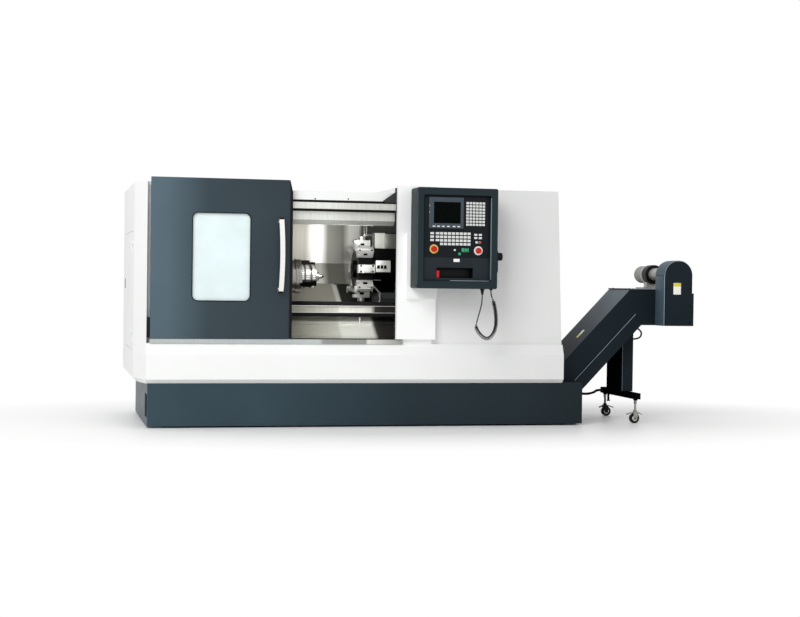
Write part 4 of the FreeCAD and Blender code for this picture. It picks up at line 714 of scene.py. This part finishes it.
class LATHE_OT_finishes(bpy.types.Operator):
    """Gives every solid of the frame its paint, metal, glass or plastic"""
    bl_idname = "lathe.finishes"
    bl_label = "Finishes"

    def execute(self, context):
        finish = {
            "white_paint": ["body_belt", "left_cover", "rear_cover", "right_cover",
                            "side_door"],
            "lit_column_paint": ["column_cover"],
            "slate_paint": ["door_panel"],
            "base_paint": ["base_tray"],
            "dark_paint": ["conveyor_housing", "chain_guard"],
            "leg_paint": ["support_leg"],
            "control_paint": ["control_housing", "control_panel"],
            "iron_paint": ["bed_casting", "headstock", "saddle", "cross_slide",
                           "tailstock_body"],
            "stainless_sheet": ["back_splash"],
            "header_sheet": ["door_header"],
            "way_sheet": ["way_cover_fixed", "way_cover_moving"],
            "chute_sheet": ["chip_chute"],
            "sill_sheet": ["sill_strip"],
            "ground_steel": ["z_screw", "tailstock_quill", "head_shaft", "bed_rails"],
            "turned_steel": ["spindle", "chuck_body", "drive_centre", "caster_fork_near"],
            "bright_steel": ["tool_holders", "door_handle"],
            "black_steel": ["turret_disc", "turret_housing", "jaw_1", "jaw_2", "jaw_3",
                            "levelling_feet", "caster_fork_far"],
            "belt_steel": ["conveyor_belt"],
            "frosted_pane": ["door_window"],
            "screen_glass": ["screen"],
            "black_plastic": ["pendant_dial", "strain_relief", "pendant"],
            "rubber": ["caster_wheel_near", "caster_wheel_far"],
            "key_plastic": ["panel_keys"],
            "red_plastic": ["estop_left", "estop_right"],
            "green_plastic": ["start_button", "hold_button"],
            "motor_paint": ["gearmotor"],
        }
        for material, names in finish.items():
            for name in names:
                node = NODES[name]
                node.data.materials.clear()
                node.data.materials.append(MATERIALS[material])
        return {"FINISHED"}


class LATHE_OT_door_trim(bpy.types.Operator):
    """Adds the window's gasket, the door's closing edge, handle ends and buffer, and the latch"""
    bl_idname = "lathe.door_trim"
    bl_label = "Door trim"

    def execute(self, context):
        Piece().frame(300, 720, 897, 1529, radius=45, width=7, y0=-12.6, y1=1).done(
            "window_gasket", "door", "rubber", "black_plastic")
        edge = Piece()
        outline = [(999, 640), (1018.6, 640), (1018.6, 1681), (999, 1760)]
        bevel_x, bevel_y, bevel_slope = 984, -13, 16 / 35
        face = [(x, bevel_y + (x - bevel_x) * bevel_slope, z) for x, z in outline]
        edge.loft([(x - 0.1, y + 0.2, z) for x, y, z in face],
                  [(x + 0.6, y - 1.3, z) for x, y, z in face])
        edge.done("closing_edge", "door", "rubber", "black_plastic")
        ends = Piece()
        for z in (962, 1474):
            ends.box(911.5, 948.5, -57.5, -28, z, z + 24, 3)
        ends.done("handle_ends", "door", "black_plastic", "black_plastic")
        Piece().box(-8, 13, -12, 60, 638, 782, 3).done("door_buffer", "machine", "rubber",
                                                       "black_plastic")
        Piece().box(-91.6, -88, 1262, 1368, 978, 1054, 1.2).done(
            "side_latch_face", "side_door", "bezel_plastic", "panel")
        return {"FINISHED"}


class LATHE_OT_control_face(bpy.types.Operator):
    """Builds the control panel's face, slot lining, painted shadow and highlights, and dial cap
    """
    bl_idname = "lathe.control_face"
    bl_label = "Control face"

    def execute(self, context):
        left, top, front = PANEL_LEFT, PANEL_TOP, PANEL_FRONT

        def plates(piece, y0, y1, spans, bevel=0.2):
            """Flat boxes, each over a span across from the left and down from the top."""
            for x0, x1, d0, d1 in spans:
                piece.box(left + x0, left + x1, y0, y1, top - d1, top - d0, bevel)
            return piece

        plates(Piece(), front - 0.6, front + 0.1, [(50, 545, 55, 496)]).done(
            "dark_field", "machine", "panel_black", "panel")
        plates(Piece(), front - 0.6, front + 0.1, [
            (50, 149, 500, 666), (421, 545, 500, 666), (149, 421, 500, 570),
            (149, 421, 646, 666)]).done("lower_field", "machine", "panel_slate", "panel")
        plates(Piece(), front - 10.5, front - 7.9, [
            (88, 123, 68, 290), (322, 343, 68, 290), (123, 322, 68, 101),
            (123, 322, 255, 290)], 0.8).done("screen_bezel", "machine", "bezel_plastic", "panel")
        plates(Piece(), front - 12, front - 10.4, [
            (a - 10, a + 10, 272, 280) for a in (125, 158, 193, 231, 273, 307)] + [
            (89, 92, 126, 134), (89, 92, 171, 179)], 0.5).done(
                "soft_keys", "machine", "key_plastic", "keys")
        plates(Piece(), front - 6.6, front - 5.9, [(125.3, 319.7, 103.3, 252.7)]).done(
            "screen_face", "machine", "screen_glass", "screen")
        plates(Piece(), front - 2.6, front + 0.1, [
            (334, 354.5, 429, 457), (377.5, 386, 429, 457), (354.5, 377.5, 452.5, 457)],
            0.8).done("hold_collar", "machine", "green_plastic", "green")
        plates(Piece(), front - 4.9, front - 3.9, [(461, 475, 380, 392)], 0.3).done(
            "red_key", "machine", "red_plastic", "red")
        Piece().turned((left + 283, front, top - 444), (0, -1, 0),
                       [(0, 7), (4, 7), (5, 6)], 20).done("white_knob", "machine",
                                                          "key_plastic", "keys")
        for name, ring, across, down in (("ring_left", "ring_yellow", 128, 439),
                                         ("ring_right", "ring_white", 457, 446)):
            Piece().hoop((left + across, front - 4, top - down), (0, -1, 0), 32, 21.5,
                         1.6).done(name, "machine", ring, "keys")
        marks = (
            ("marks_pad", (374, 106), (24, 22), 6, 8, (8, 2)),
            ("marks_left", (114, 326), (40, 24.5), 2, 3, (11, 2)),
            ("marks_middle", (184, 326), (29, 25.3), 8, 4, (9, 2)),
            ("marks_right", (437, 332), (34, 23), 2, 2, (9, 2)))
        for name, first, pitch, columns, rows, size in marks:
            grid_of_blocks(name, "machine", "key_mark",
                           (left + first[0], front - 4.1, top - first[1]), (pitch[0], 0, 0),
                           (0, 0, -pitch[1]), columns, rows, (size[0], 0.6, size[1]))
        Piece().box(left + 55, left + 540, front - 0.9, front + 0.2, top - 499, top - 495,
                    0.2).done("panel_groove", "machine", "black_plastic", "black_plastic")
        plates(Piece(), front - 1.4, front - 0.5, [(275, 320, 507, 529)], 0.3).done(
            "panel_plate", "machine", "plate_white", "keys")
        plates(Piece(), -232, SLOT_BACK, [(150.6, 172, 593, 643)], 2).done(
            "slot_tab", "machine", "red_plastic", "red")
        lining = plates(Piece(), -181, SLOT_BACK, [(150.6, 419.4, 571.6, 644.4)])
        plates(lining, -234, -181, [(150.4, 151.2, 572, 644), (418.8, 419.6, 572, 644),
                                    (151, 419, 571.4, 572.2), (151, 419, 643.8, 644.6)], 0.1)
        lining.done("slot_lining", "machine", "black_plastic", "black_plastic")
        plates(Piece(), front - 1.4, front - 0.5, [(50, 545, 51.5, 56.5), (46.5, 51, 66, 655)],
               0.3).done("recess_shadow", "machine", "black_plastic", "black_plastic")
        # A painted highlight down the control box's left front corner.
        Piece().box(left + 0.8, left + 4.4, BOX_FRONT - 0.7, BOX_FRONT + 0.2, 1040, 1700,
                    0.3).done("box_edge_highlight", "machine", "lit_side_paint", "panel_paint")
        # Painted highlights on the recess's right wall and along its foot.
        plates(Piece(), front - 24, front - 1, [(548.2, 549.2, 66, 655)], 0.1).done(
            "recess_side_highlight", "machine", "edge_highlight_paint", "panel")
        plates(Piece(), front - 1.4, front - 0.5, [(250, 540, 661, 666)]).done(
            "recess_foot_highlight", "machine", "edge_highlight_paint", "panel")
        Piece().turned((2504, -160, 1245), (1, 0, 0),
                       [(0, 27), (4, 29), (22, 29), (26, 25), (28, 8)], 28).done(
            "dial_cap", "pendant_dial", "black_plastic", "black_plastic")
        return {"FINISHED"}


class LATHE_OT_fasteners(bpy.types.Operator):
    """Sets the screws of the covers, the conveyor, the guard and the control box"""
    bl_idname = "lathe.fasteners"
    bl_label = "Fasteners"

    def execute(self, context):
        radius = context.scene.lathe_sizes.screw_radius
        guard = [(x, 10, z) for x in (3876, 4074) for z in (770, 900, 1030)]
        rear = [(x, REAR_WALL, z) for x in (-60, 700, 1500, 2300, 2990)
                for z in (640, 1120, 1600)]
        lid = [(x, y, 1026) for x in (3690, 3830, 4080) for y in (215, 645)]
        box_side = [(PANEL_LEFT, y, z) for y in (-238, -84) for z in (1040, 1370, 1700)]
        for name, metal_name, points, direction, share, height in (
                ("guard_screws", "black_steel", guard, (0, -1, 0), 1, 0.003),
                ("rear_screws", "ground_steel", rear, (0, 1, 0), 1, 0.003),
                ("lid_screws", "black_steel", lid, (0, 0, 1), 1, 0.003),
                ("box_screws", "black_steel", box_side, (-1, 0, 0), 0.7, 0.002)):
            fasteners(name, "machine", metal_name, points, direction, radius * share, height)
        return {"FINISHED"}


class LATHE_OT_header(bpy.types.Operator):
    """Adds the dark strips, a dark wedge and the fascia's screws above the work area"""
    bl_idname = "lathe.header"
    bl_label = "Door header"

    def execute(self, context):
        strip = Piece()
        strip.box(16, 1781, 48.6, 50.4, 1619, 1636, 0.4)
        strip.box(1016, 1781, 57, 59.8, 1554.5, 1572, 0.4)
        strip.done("header_strips", "machine", "rubber", "black_plastic")
        # A dark wedge between the header and the column.
        wedge = [(1687, 1640), (1702, 1627), (1783, 1627), (1783, 1701), (1770, 1701)]
        Piece().prism(wedge, 30, 60, 1.5).done("header_wedge", "machine", "iron_paint",
                                               "dark_paint")
        fasteners("fascia_screws", "machine", "black_steel", [(1188, 60, 1644), (1431, 60, 1648)],
                  (0, -1, 0), 0.004, 0.0015)
        return {"FINISHED"}


class LATHE_OT_chuck_rings(bpy.types.Operator):
    """Adds the bright rings, the dark grooves and the centre's bolts on the chuck"""
    bl_idname = "lathe.chuck_rings"
    bl_label = "Chuck rings"

    def execute(self, context):
        rings = Piece()
        for x, width in ((1152, 23), (1185, 38), (1233, 28)):
            rings.hoop((x, SPINDLE_Y, SPINDLE_Z), (1, 0, 0), 90.2, 88.5, width)
        rings.done("chuck_rings", "spindle", "bright_steel", "ground_steel")
        grooves = Piece()
        for x in (1176.5, 1224.5):
            grooves.hoop((x, SPINDLE_Y, SPINDLE_Z), (1, 0, 0), 82.6, 81, 7)
        grooves.done("chuck_grooves", "spindle", "black_steel", "black_steel")
        circle = 66
        bolts = [(1262.5, SPINDLE_Y + circle * math.cos(a), SPINDLE_Z + circle * math.sin(a))
                 for a in [math.pi * k / 4 for k in range(8)]]
        fasteners("centre_bolts", "spindle", "black_steel", bolts, (1, 0, 0), 0.007, 0.006)
        return {"FINISHED"}


def around_turret(a, reach, x, side):
    """A point at the station at angle a, reach out from the turret's axis, side across it."""
    return (x, TURRET_Y - reach * math.sin(a) + side * math.cos(a),
            TURRET_Z + reach * math.cos(a) + side * math.sin(a))


class LATHE_OT_turret_fittings(bpy.types.Operator):
    """Adds the turret's bolts, clamps, hub, cover sheet, valves, pipes and cover plates"""
    bl_idname = "lathe.turret_fittings"
    bl_label = "Turret fittings"

    def execute(self, context):
        for index, a in enumerate(STATIONS):
            points = [around_turret(a, 222, x, s) for x in (1645, 1738) for s in (-22, 22)]
            fasteners("holder_bolts_%d" % index, "turret", "black_steel", points,
                      (0, -math.sin(a), math.cos(a)), 0.006, 0.005)
        clamps = Piece()
        centre = Matrix.Translation((0, TURRET_Y, TURRET_Z))
        for a in STATIONS:
            clamps.at = centre @ Matrix.Rotation(a, 4, "X")
            for side in (30.8, -36.5):
                clamps.box(1676, 1706, side, side + 5.7, 182, 198, 1.5)
        clamps.done("holder_clamps", "turret", "black_steel", "black_steel")
        hub = Piece().turned((1628, TURRET_Y, TURRET_Z), (-1, 0, 0),
                             [(0, 66), (8, 66), (12, 60), (14, 36), (19, 32), (20, 10)])
        hub.done("turret_hub", "turret", "black_steel", "black_steel")
        sheet = [(1750, 1122), (1732, 1065), (1821, 967), (1822, 902), (1798, 883),
                 (1796.1, 885.4), (1819, 903.4), (1818, 965.8), (1728.6, 1064.3),
                 (1747.1, 1122.9)]
        cover = Piece().prism(sheet, 735, 800).box(1731, 1827, 735, 800, 1063, 1066, 0.5)
        cover.done("chip_cover", "cross_slide", "bright_steel", "ground_steel")
        Piece().box(1766, 1882, 648, 652.3, 1126, 1215, 1.5).done(
            "valve_face", "cross_slide", "bright_steel", "ground_steel")
        valves = Piece()
        for x0, x1 in ((1774, 1796), (1803, 1822), (1829, 1848)):
            valves.box(x0, x1, 640, 648.2, 1152, 1178, 1.5)
        valves.done("valve_blocks", "cross_slide", "black_steel", "black_steel")
        pipes = Piece()
        for x in (1722, 1740):
            pipes.turned((x, 895, 1402), (0, 0, 1), [(0, 6), (159, 6), (163, 4)], 14)
        pipes.box(1713, 1799, 888, 902, 1408, 1422, 1.5)
        pipes.done("coolant_pipes", "cross_slide", "pipe_steel", "ground_steel")
        Piece().box(1799, 1880, 860.6, 862.2, 1312, 1432, 0.4).done(
            "cover_face_light", "cross_slide", "plate_white", "ground_steel")
        Piece().box(1881, 1988, 860.8, 862.2, 1312, 1428, 0.4).done(
            "cover_face_grey", "cross_slide", "pipe_steel", "ground_steel")
        return {"FINISHED"}


class LATHE_OT_interior(bpy.types.Operator):
    """Adds painted shade in the sill's gap and the guard bar's painted shadows, highlights and
    seam
    """
    bl_idname = "lathe.interior"
    bl_label = "Interior sheets"

    def execute(self, context):
        # A dark strip in the sill's gap: painted shade.
        Piece().box(1016, 1782, 50, 57.5, 630.8, 637.5, 0.5).done(
            "sill_gap_shade", "machine", "rubber", "black_plastic")
        bar = (1017, 2248)
        # Dark strips under and over the guard bar: painted shadow.
        shadow_strips = Piece()
        shadow_strips.box(*bar, 588, 596, 783, 813.5, 0.8)
        shadow_strips.box(*bar, 597.6, 600.6, 864, 898, 0.8)
        shadow_strips.done("guard_bar_shadow_strips", "machine", "rubber", "black_plastic")
        # Bright strips along the guard bar's folds: painted highlights.
        fold_highlights = Piece()
        fold_highlights.box(*bar, 583, 586, 862, 867, 0.8)
        fold_highlights.box(*bar, 583, 586, 812, 816, 0.8)
        fold_highlights.done("guard_bar_fold_highlights", "machine", "bright_steel", "stainless")
        Piece().box(1460, 1464, 595.5, 597.2, 816, 862, 0.3).done(
            "guard_bar_seam", "machine", "black_steel", "black_steel")
        return {"FINISHED"}


class LATHE_OT_conveyor_parts(bpy.types.Operator):
    """Adds the belt's and the motor's parts, the bare plates, painted edge highlights and the lit
    leg front
    """
    bl_idname = "lathe.conveyor_parts"
    bl_label = "Conveyor parts"

    def execute(self, context):
        count = context.scene.lathe_sizes.slat_count
        grid_of_blocks("belt_plates_low", "machine", "belt_steel", (1130, 430, 246.2),
                       (72, 0, 0), (0, 0, 0), count, 1, (60, 404, 3))
        fins = Piece()
        for k in range(11):
            fins.hoop((MOTOR_X, 565 + 13 * k, MOTOR_Z), (0, 1, 0), 68, 62, 4)
        fins.done("motor_fins", "machine", "motor_paint", "motor")
        Piece().hoop((MOTOR_X, 442.5, MOTOR_Z), (0, 1, 0), 74.5, 49.5, 119).done(
            "motor_band", "machine", "black_plastic", "black_plastic")
        # The guard's left face in the lighter side paint: painted light.
        Piece().box(GUARD_LEFT - 0.8, GUARD_LEFT + 0.2, 12, 188, 750, 1126, 0.3).done(
            "guard_side", "machine", "lit_side_paint", "slate_paint")

        def arch(outer, inner):
            """The band between two radii over the left side of the guard's round top."""
            turns = [math.radians(180 - 13 * k) for k in range(9)]
            return [(GUARD_X + r * math.cos(a), GUARD_Z + r * math.sin(a))
                    for r, angles in ((outer, turns), (inner, turns[::-1])) for a in angles]
        # A painted highlight round the left of the guard's round top.
        Piece().prism(arch(GUARD_RADIUS, GUARD_RADIUS - 3.5), 8.8, 10.4).done(
            "guard_arch_highlight", "machine", "edge_highlight_paint", "slate_paint")
        # The left side of the guard's round top in the lighter side paint: painted light.
        Piece().prism(arch(GUARD_RADIUS + 0.9, GUARD_RADIUS - 0.3), 12, 188).done(
            "guard_arch_side", "machine", "lit_side_paint", "slate_paint")
        Piece().turned((MOTOR_X, 738, MOTOR_Z), (0, 1, 0), [(-2, 40), (6, 40), (9, 34)],
                       28).done("motor_cap", "machine", "bright_steel", "ground_steel")
        plate = Piece().box(3936, 3996, 8.6, 10.2, 985, 1072, 0.4)
        plate.done("guard_plate", "machine", "plate_white", "keys")
        Piece().box(3937, 3995, 8.2, 9.2, 1046, 1071, 0.3).done("guard_plate_band", "machine",
                                                               "plate_yellow", "keys")
        # Painted highlights along the edges of the guard, the lid, the slope and the leg.
        lines = Piece()
        lines.box(3861.6, 3866, 8.4, 12, 748, 1129, 1)
        lines.box(3657, 4093, 192.6, 195, 1021, 1026.6, 0.6)
        lines.prism([(3222, 320.5), (3705, 826.5), (3705, 830.5), (3222, 324.5)], 188.6, 190.2)
        lines.box(3650.3, 3652.2, 313.6, 315.2, 232, 636, 0.4)
        lines.done("edge_highlights", "machine", "edge_highlight_paint", "dark_paint")
        # The leg's front face in the conveyor's dark paint, lighter than the leg's near-black
        # sides: painted light on the face toward the lamps.
        leg = [(3651, 232), (3737, 232), (3737, 727), (3651, 637)]
        Piece().prism(leg, 314.2, 315.1).done("leg_lit_front", "machine", "dark_paint",
                                              "dark_paint")
        plate = Piece()
        plate.at = Matrix.Translation((3331, 385, 670.8)) @ Matrix.Rotation(
            math.radians(-INCLINE_DEG), 4, "Y")
        plate.box(-40, 40, -20, 20, -0.2, 1.2, 0.3)
        plate.done("slope_plate", "machine", "plate_white", "keys")
        band = Piece()
        band.at = plate.at
        band.box(-39, -6, -19, 19, 1, 1.7, 0.2)
        band.done("slope_plate_band", "machine", "plate_yellow", "keys")
        return {"FINISHED"}


class LATHE_OT_louvres(bpy.types.Operator):
    """Fills the rear cover's slots with slanted blades"""
    bl_idname = "lathe.louvres"
    bl_label = "Louvres"

    def execute(self, context):
        for bank, x in (("left", 910), ("right", 2210)):
            grid_of_blocks("blades_" + bank, "machine", "white_paint",
                           (x, REAR_WALL + 4.6, 1256.5), (0, 0, 34), (0, 0, 0), 8, 1,
                           (420, 2, 16), turn=(math.radians(35), 0, 0))
        return {"FINISHED"}


class LATHE_OT_caster_details(bpy.types.Operator):
    """Adds hubs and stem nuts to the casters"""
    bl_idname = "lathe.caster_details"
    bl_label = "Caster details"

    def execute(self, context):
        for name, x, y in (("near", 3686, 138), ("far", 3702, 802)):
            hub = Piece()
            for way in (-1, 1):
                hub.turned((x, y + way * 14.5, 38), (0, way, 0),
                           [(0, 20), (1.5, 20), (2.5, 16), (2.8, 9)], 24)
            hub.done("hub_" + name, "caster_wheel_" + name, "bright_steel", "ground_steel")
            Piece().turned((3694, y, 150), (0, 0, 1),
                           [(0, 11), (2, 13), (14, 13), (16, 11)], 6).done(
                "stem_nut_" + name, "caster_fork_" + name, "turned_steel", "ground_steel")
        return {"FINISHED"}


def seen_ray(n):
    """1 for rays that show the backdrop: seen straight, in a reflection or through glass."""
    ray = n.add("ShaderNodeLightPath").outputs
    seen = n.add("ShaderNodeMath", {0: ray["Is Camera Ray"], 1: ray["Is Glossy Ray"]},
                 operation="MAXIMUM")
    return n.add("ShaderNodeMath", {0: seen.outputs[0], 1: ray["Is Transmission Ray"]},
                 operation="MAXIMUM").outputs[0]


def lay_floor(scene):
    """A pale floor that keeps the shadow and fades to white in an oval round the machine."""
    material, n, shader, place = new_material("studio_floor")
    n.set(shader, "Base Color", colour_ramp(n, noise(n, place, 0.4), [
        (0.3, (0.93, 0.93, 0.925, 1)), (0.7, (0.95, 0.95, 0.945, 1))]))
    n.set(shader, "Roughness", 0.45)
    out = next(x for x in material.node_tree.nodes if x.type == "OUTPUT_MATERIAL")
    white = n.add("ShaderNodeEmission", {"Color": WHITE, "Strength": 1.0})
    oval = stretched(n, place, (0.42, 0.72, 0.0))
    far = n.add("ShaderNodeVectorMath", {0: oval}, operation="LENGTH").outputs["Value"]
    fade = n.add("ShaderNodeMapRange", {"Value": far, "From Min": 0.9,
                                        "From Max": 1.7}).outputs[0]
    shown = n.add("ShaderNodeMath", {0: fade, 1: seen_ray(n)}, operation="MULTIPLY")
    mix = n.add("ShaderNodeMixShader", {"Fac": shown.outputs[0]})
    n.set(mix, 1, shader.outputs[0])
    n.set(mix, 2, white.outputs[0])
    n.set(out, "Surface", mix.outputs[0])
    mesh = bpy.data.meshes.new("floor")
    mesh.from_pydata([(-40, -30, 0), (40, -30, 0), (40, 60, 0), (-40, 60, 0)], [],
                     [(0, 1, 2, 3)])
    mesh.materials.append(material)
    floor = bpy.data.objects.new("floor", mesh)
    scene.collection.objects.link(floor)


def light_backdrop(scene):
    """A world that looks white and lights the machine with less than that."""
    world = bpy.data.worlds.new("studio")
    world.use_nodes = True
    scene.world = world
    w = Nodes(world.node_tree)
    world.node_tree.nodes.clear()
    strength = w.add("ShaderNodeMapRange", {"Value": seen_ray(w), "To Min": 0.62,
                                            "To Max": 1.0})
    back = w.add("ShaderNodeBackground", {"Color": WHITE, "Strength": strength.outputs[0]})
    end = w.add("ShaderNodeOutputWorld")
    w.set(end, "Surface", back.outputs[0])


def hang_lamps(scene):
    """Soft lamps: a key from the left, a fill from the right, a small one in the work area."""
    for name, place, turn_deg, size, watts in (
            ("key_light", (-6, -8, 7), (48, 0, -35), 6, 620),
            ("fill_light", (8, -7, 5), (60, 0, 48), 5, 60),
            ("work_light", mm(1480, 110, 1420), (66, 0, 0), 0.3, 5)):
        light = bpy.data.lights.new(name, "AREA")
        light.energy = watts
        light.size = size
        lamp = bpy.data.objects.new(name, light)
        lamp.location = place
        lamp.rotation_euler = [math.radians(a) for a in turn_deg]
        lamp.visible_camera = False
        scene.collection.objects.link(lamp)


def set_camera(scene):
    """A long lens at spindle height, a little left of the machine."""
    sensor_mm, focal_pixels, picture_pixels = 36, 1580, 800
    pan_deg, tilt_deg, roll_deg = -12.8, -0.936, 0.756
    data = bpy.data.cameras.new("camera")
    data.sensor_width = sensor_mm
    data.lens = sensor_mm * focal_pixels / picture_pixels
    data.clip_end = 200
    camera = bpy.data.objects.new("camera", data)
    camera.matrix_world = (
        Matrix.Translation(mm(-732, -11200, 1047))
        @ Matrix.Rotation(math.radians(pan_deg), 4, "Z")
        @ Matrix.Rotation(math.radians(90 + tilt_deg), 4, "X")
        @ Matrix.Rotation(math.radians(roll_deg), 4, "Z"))
    scene.collection.objects.link(camera)
    scene.camera = camera


class LATHE_OT_stage(bpy.types.Operator):
    """Sets the pale floor, the backdrop, the soft lamps and the camera"""
    bl_idname = "lathe.stage"
    bl_label = "Stage"

    def execute(self, context):
        scene = context.scene
        scene.view_settings.view_transform = "Standard"
        lay_floor(scene)
        light_backdrop(scene)
        hang_lamps(scene)
        set_camera(scene)
        return {"FINISHED"}


OPERATORS = (LATHE_OT_stage, LATHE_OT_pendant_cord, LATHE_OT_conveyor_cables,
             LATHE_OT_finishes, LATHE_OT_door_trim, LATHE_OT_control_face,
             LATHE_OT_fasteners, LATHE_OT_header, LATHE_OT_chuck_rings,
             LATHE_OT_turret_fittings, LATHE_OT_interior, LATHE_OT_conveyor_parts,
             LATHE_OT_louvres, LATHE_OT_caster_details)


class LATHE_PT_panel(bpy.types.Panel):
    """Lists the lathe's sizes, colours and the steps that build its finish"""
    bl_idname = "LATHE_PT_panel"
    bl_label = "Turning lathe"
    bl_space_type = "VIEW_3D"
    bl_region_type = "UI"
    bl_category = "Lathe"

    def draw(self, context):
        for group in (context.scene.lathe_sizes, context.scene.lathe_colours):
            for key in group.__annotations__:
                self.layout.prop(group, key)
        for operator in OPERATORS:
            self.layout.operator(operator.bl_idname)


CLASSES = (LatheSizes, LatheColours) + OPERATORS + (LATHE_PT_panel,)


def register():
    for item in CLASSES:
        bpy.utils.register_class(item)
    bpy.types.Scene.lathe_sizes = PointerProperty(type=LatheSizes)
    bpy.types.Scene.lathe_colours = PointerProperty(type=LatheColours)


def unregister():
    del bpy.types.Scene.lathe_sizes
    del bpy.types.Scene.lathe_colours
    for item in reversed(CLASSES):
        bpy.utils.unregister_class(item)


def main():
    register()
    make_materials()
    for operator in OPERATORS:
        group, name = operator.bl_idname.split(".")
        getattr(getattr(bpy.ops, group), name)()


if __name__ == "__main__":
    main()
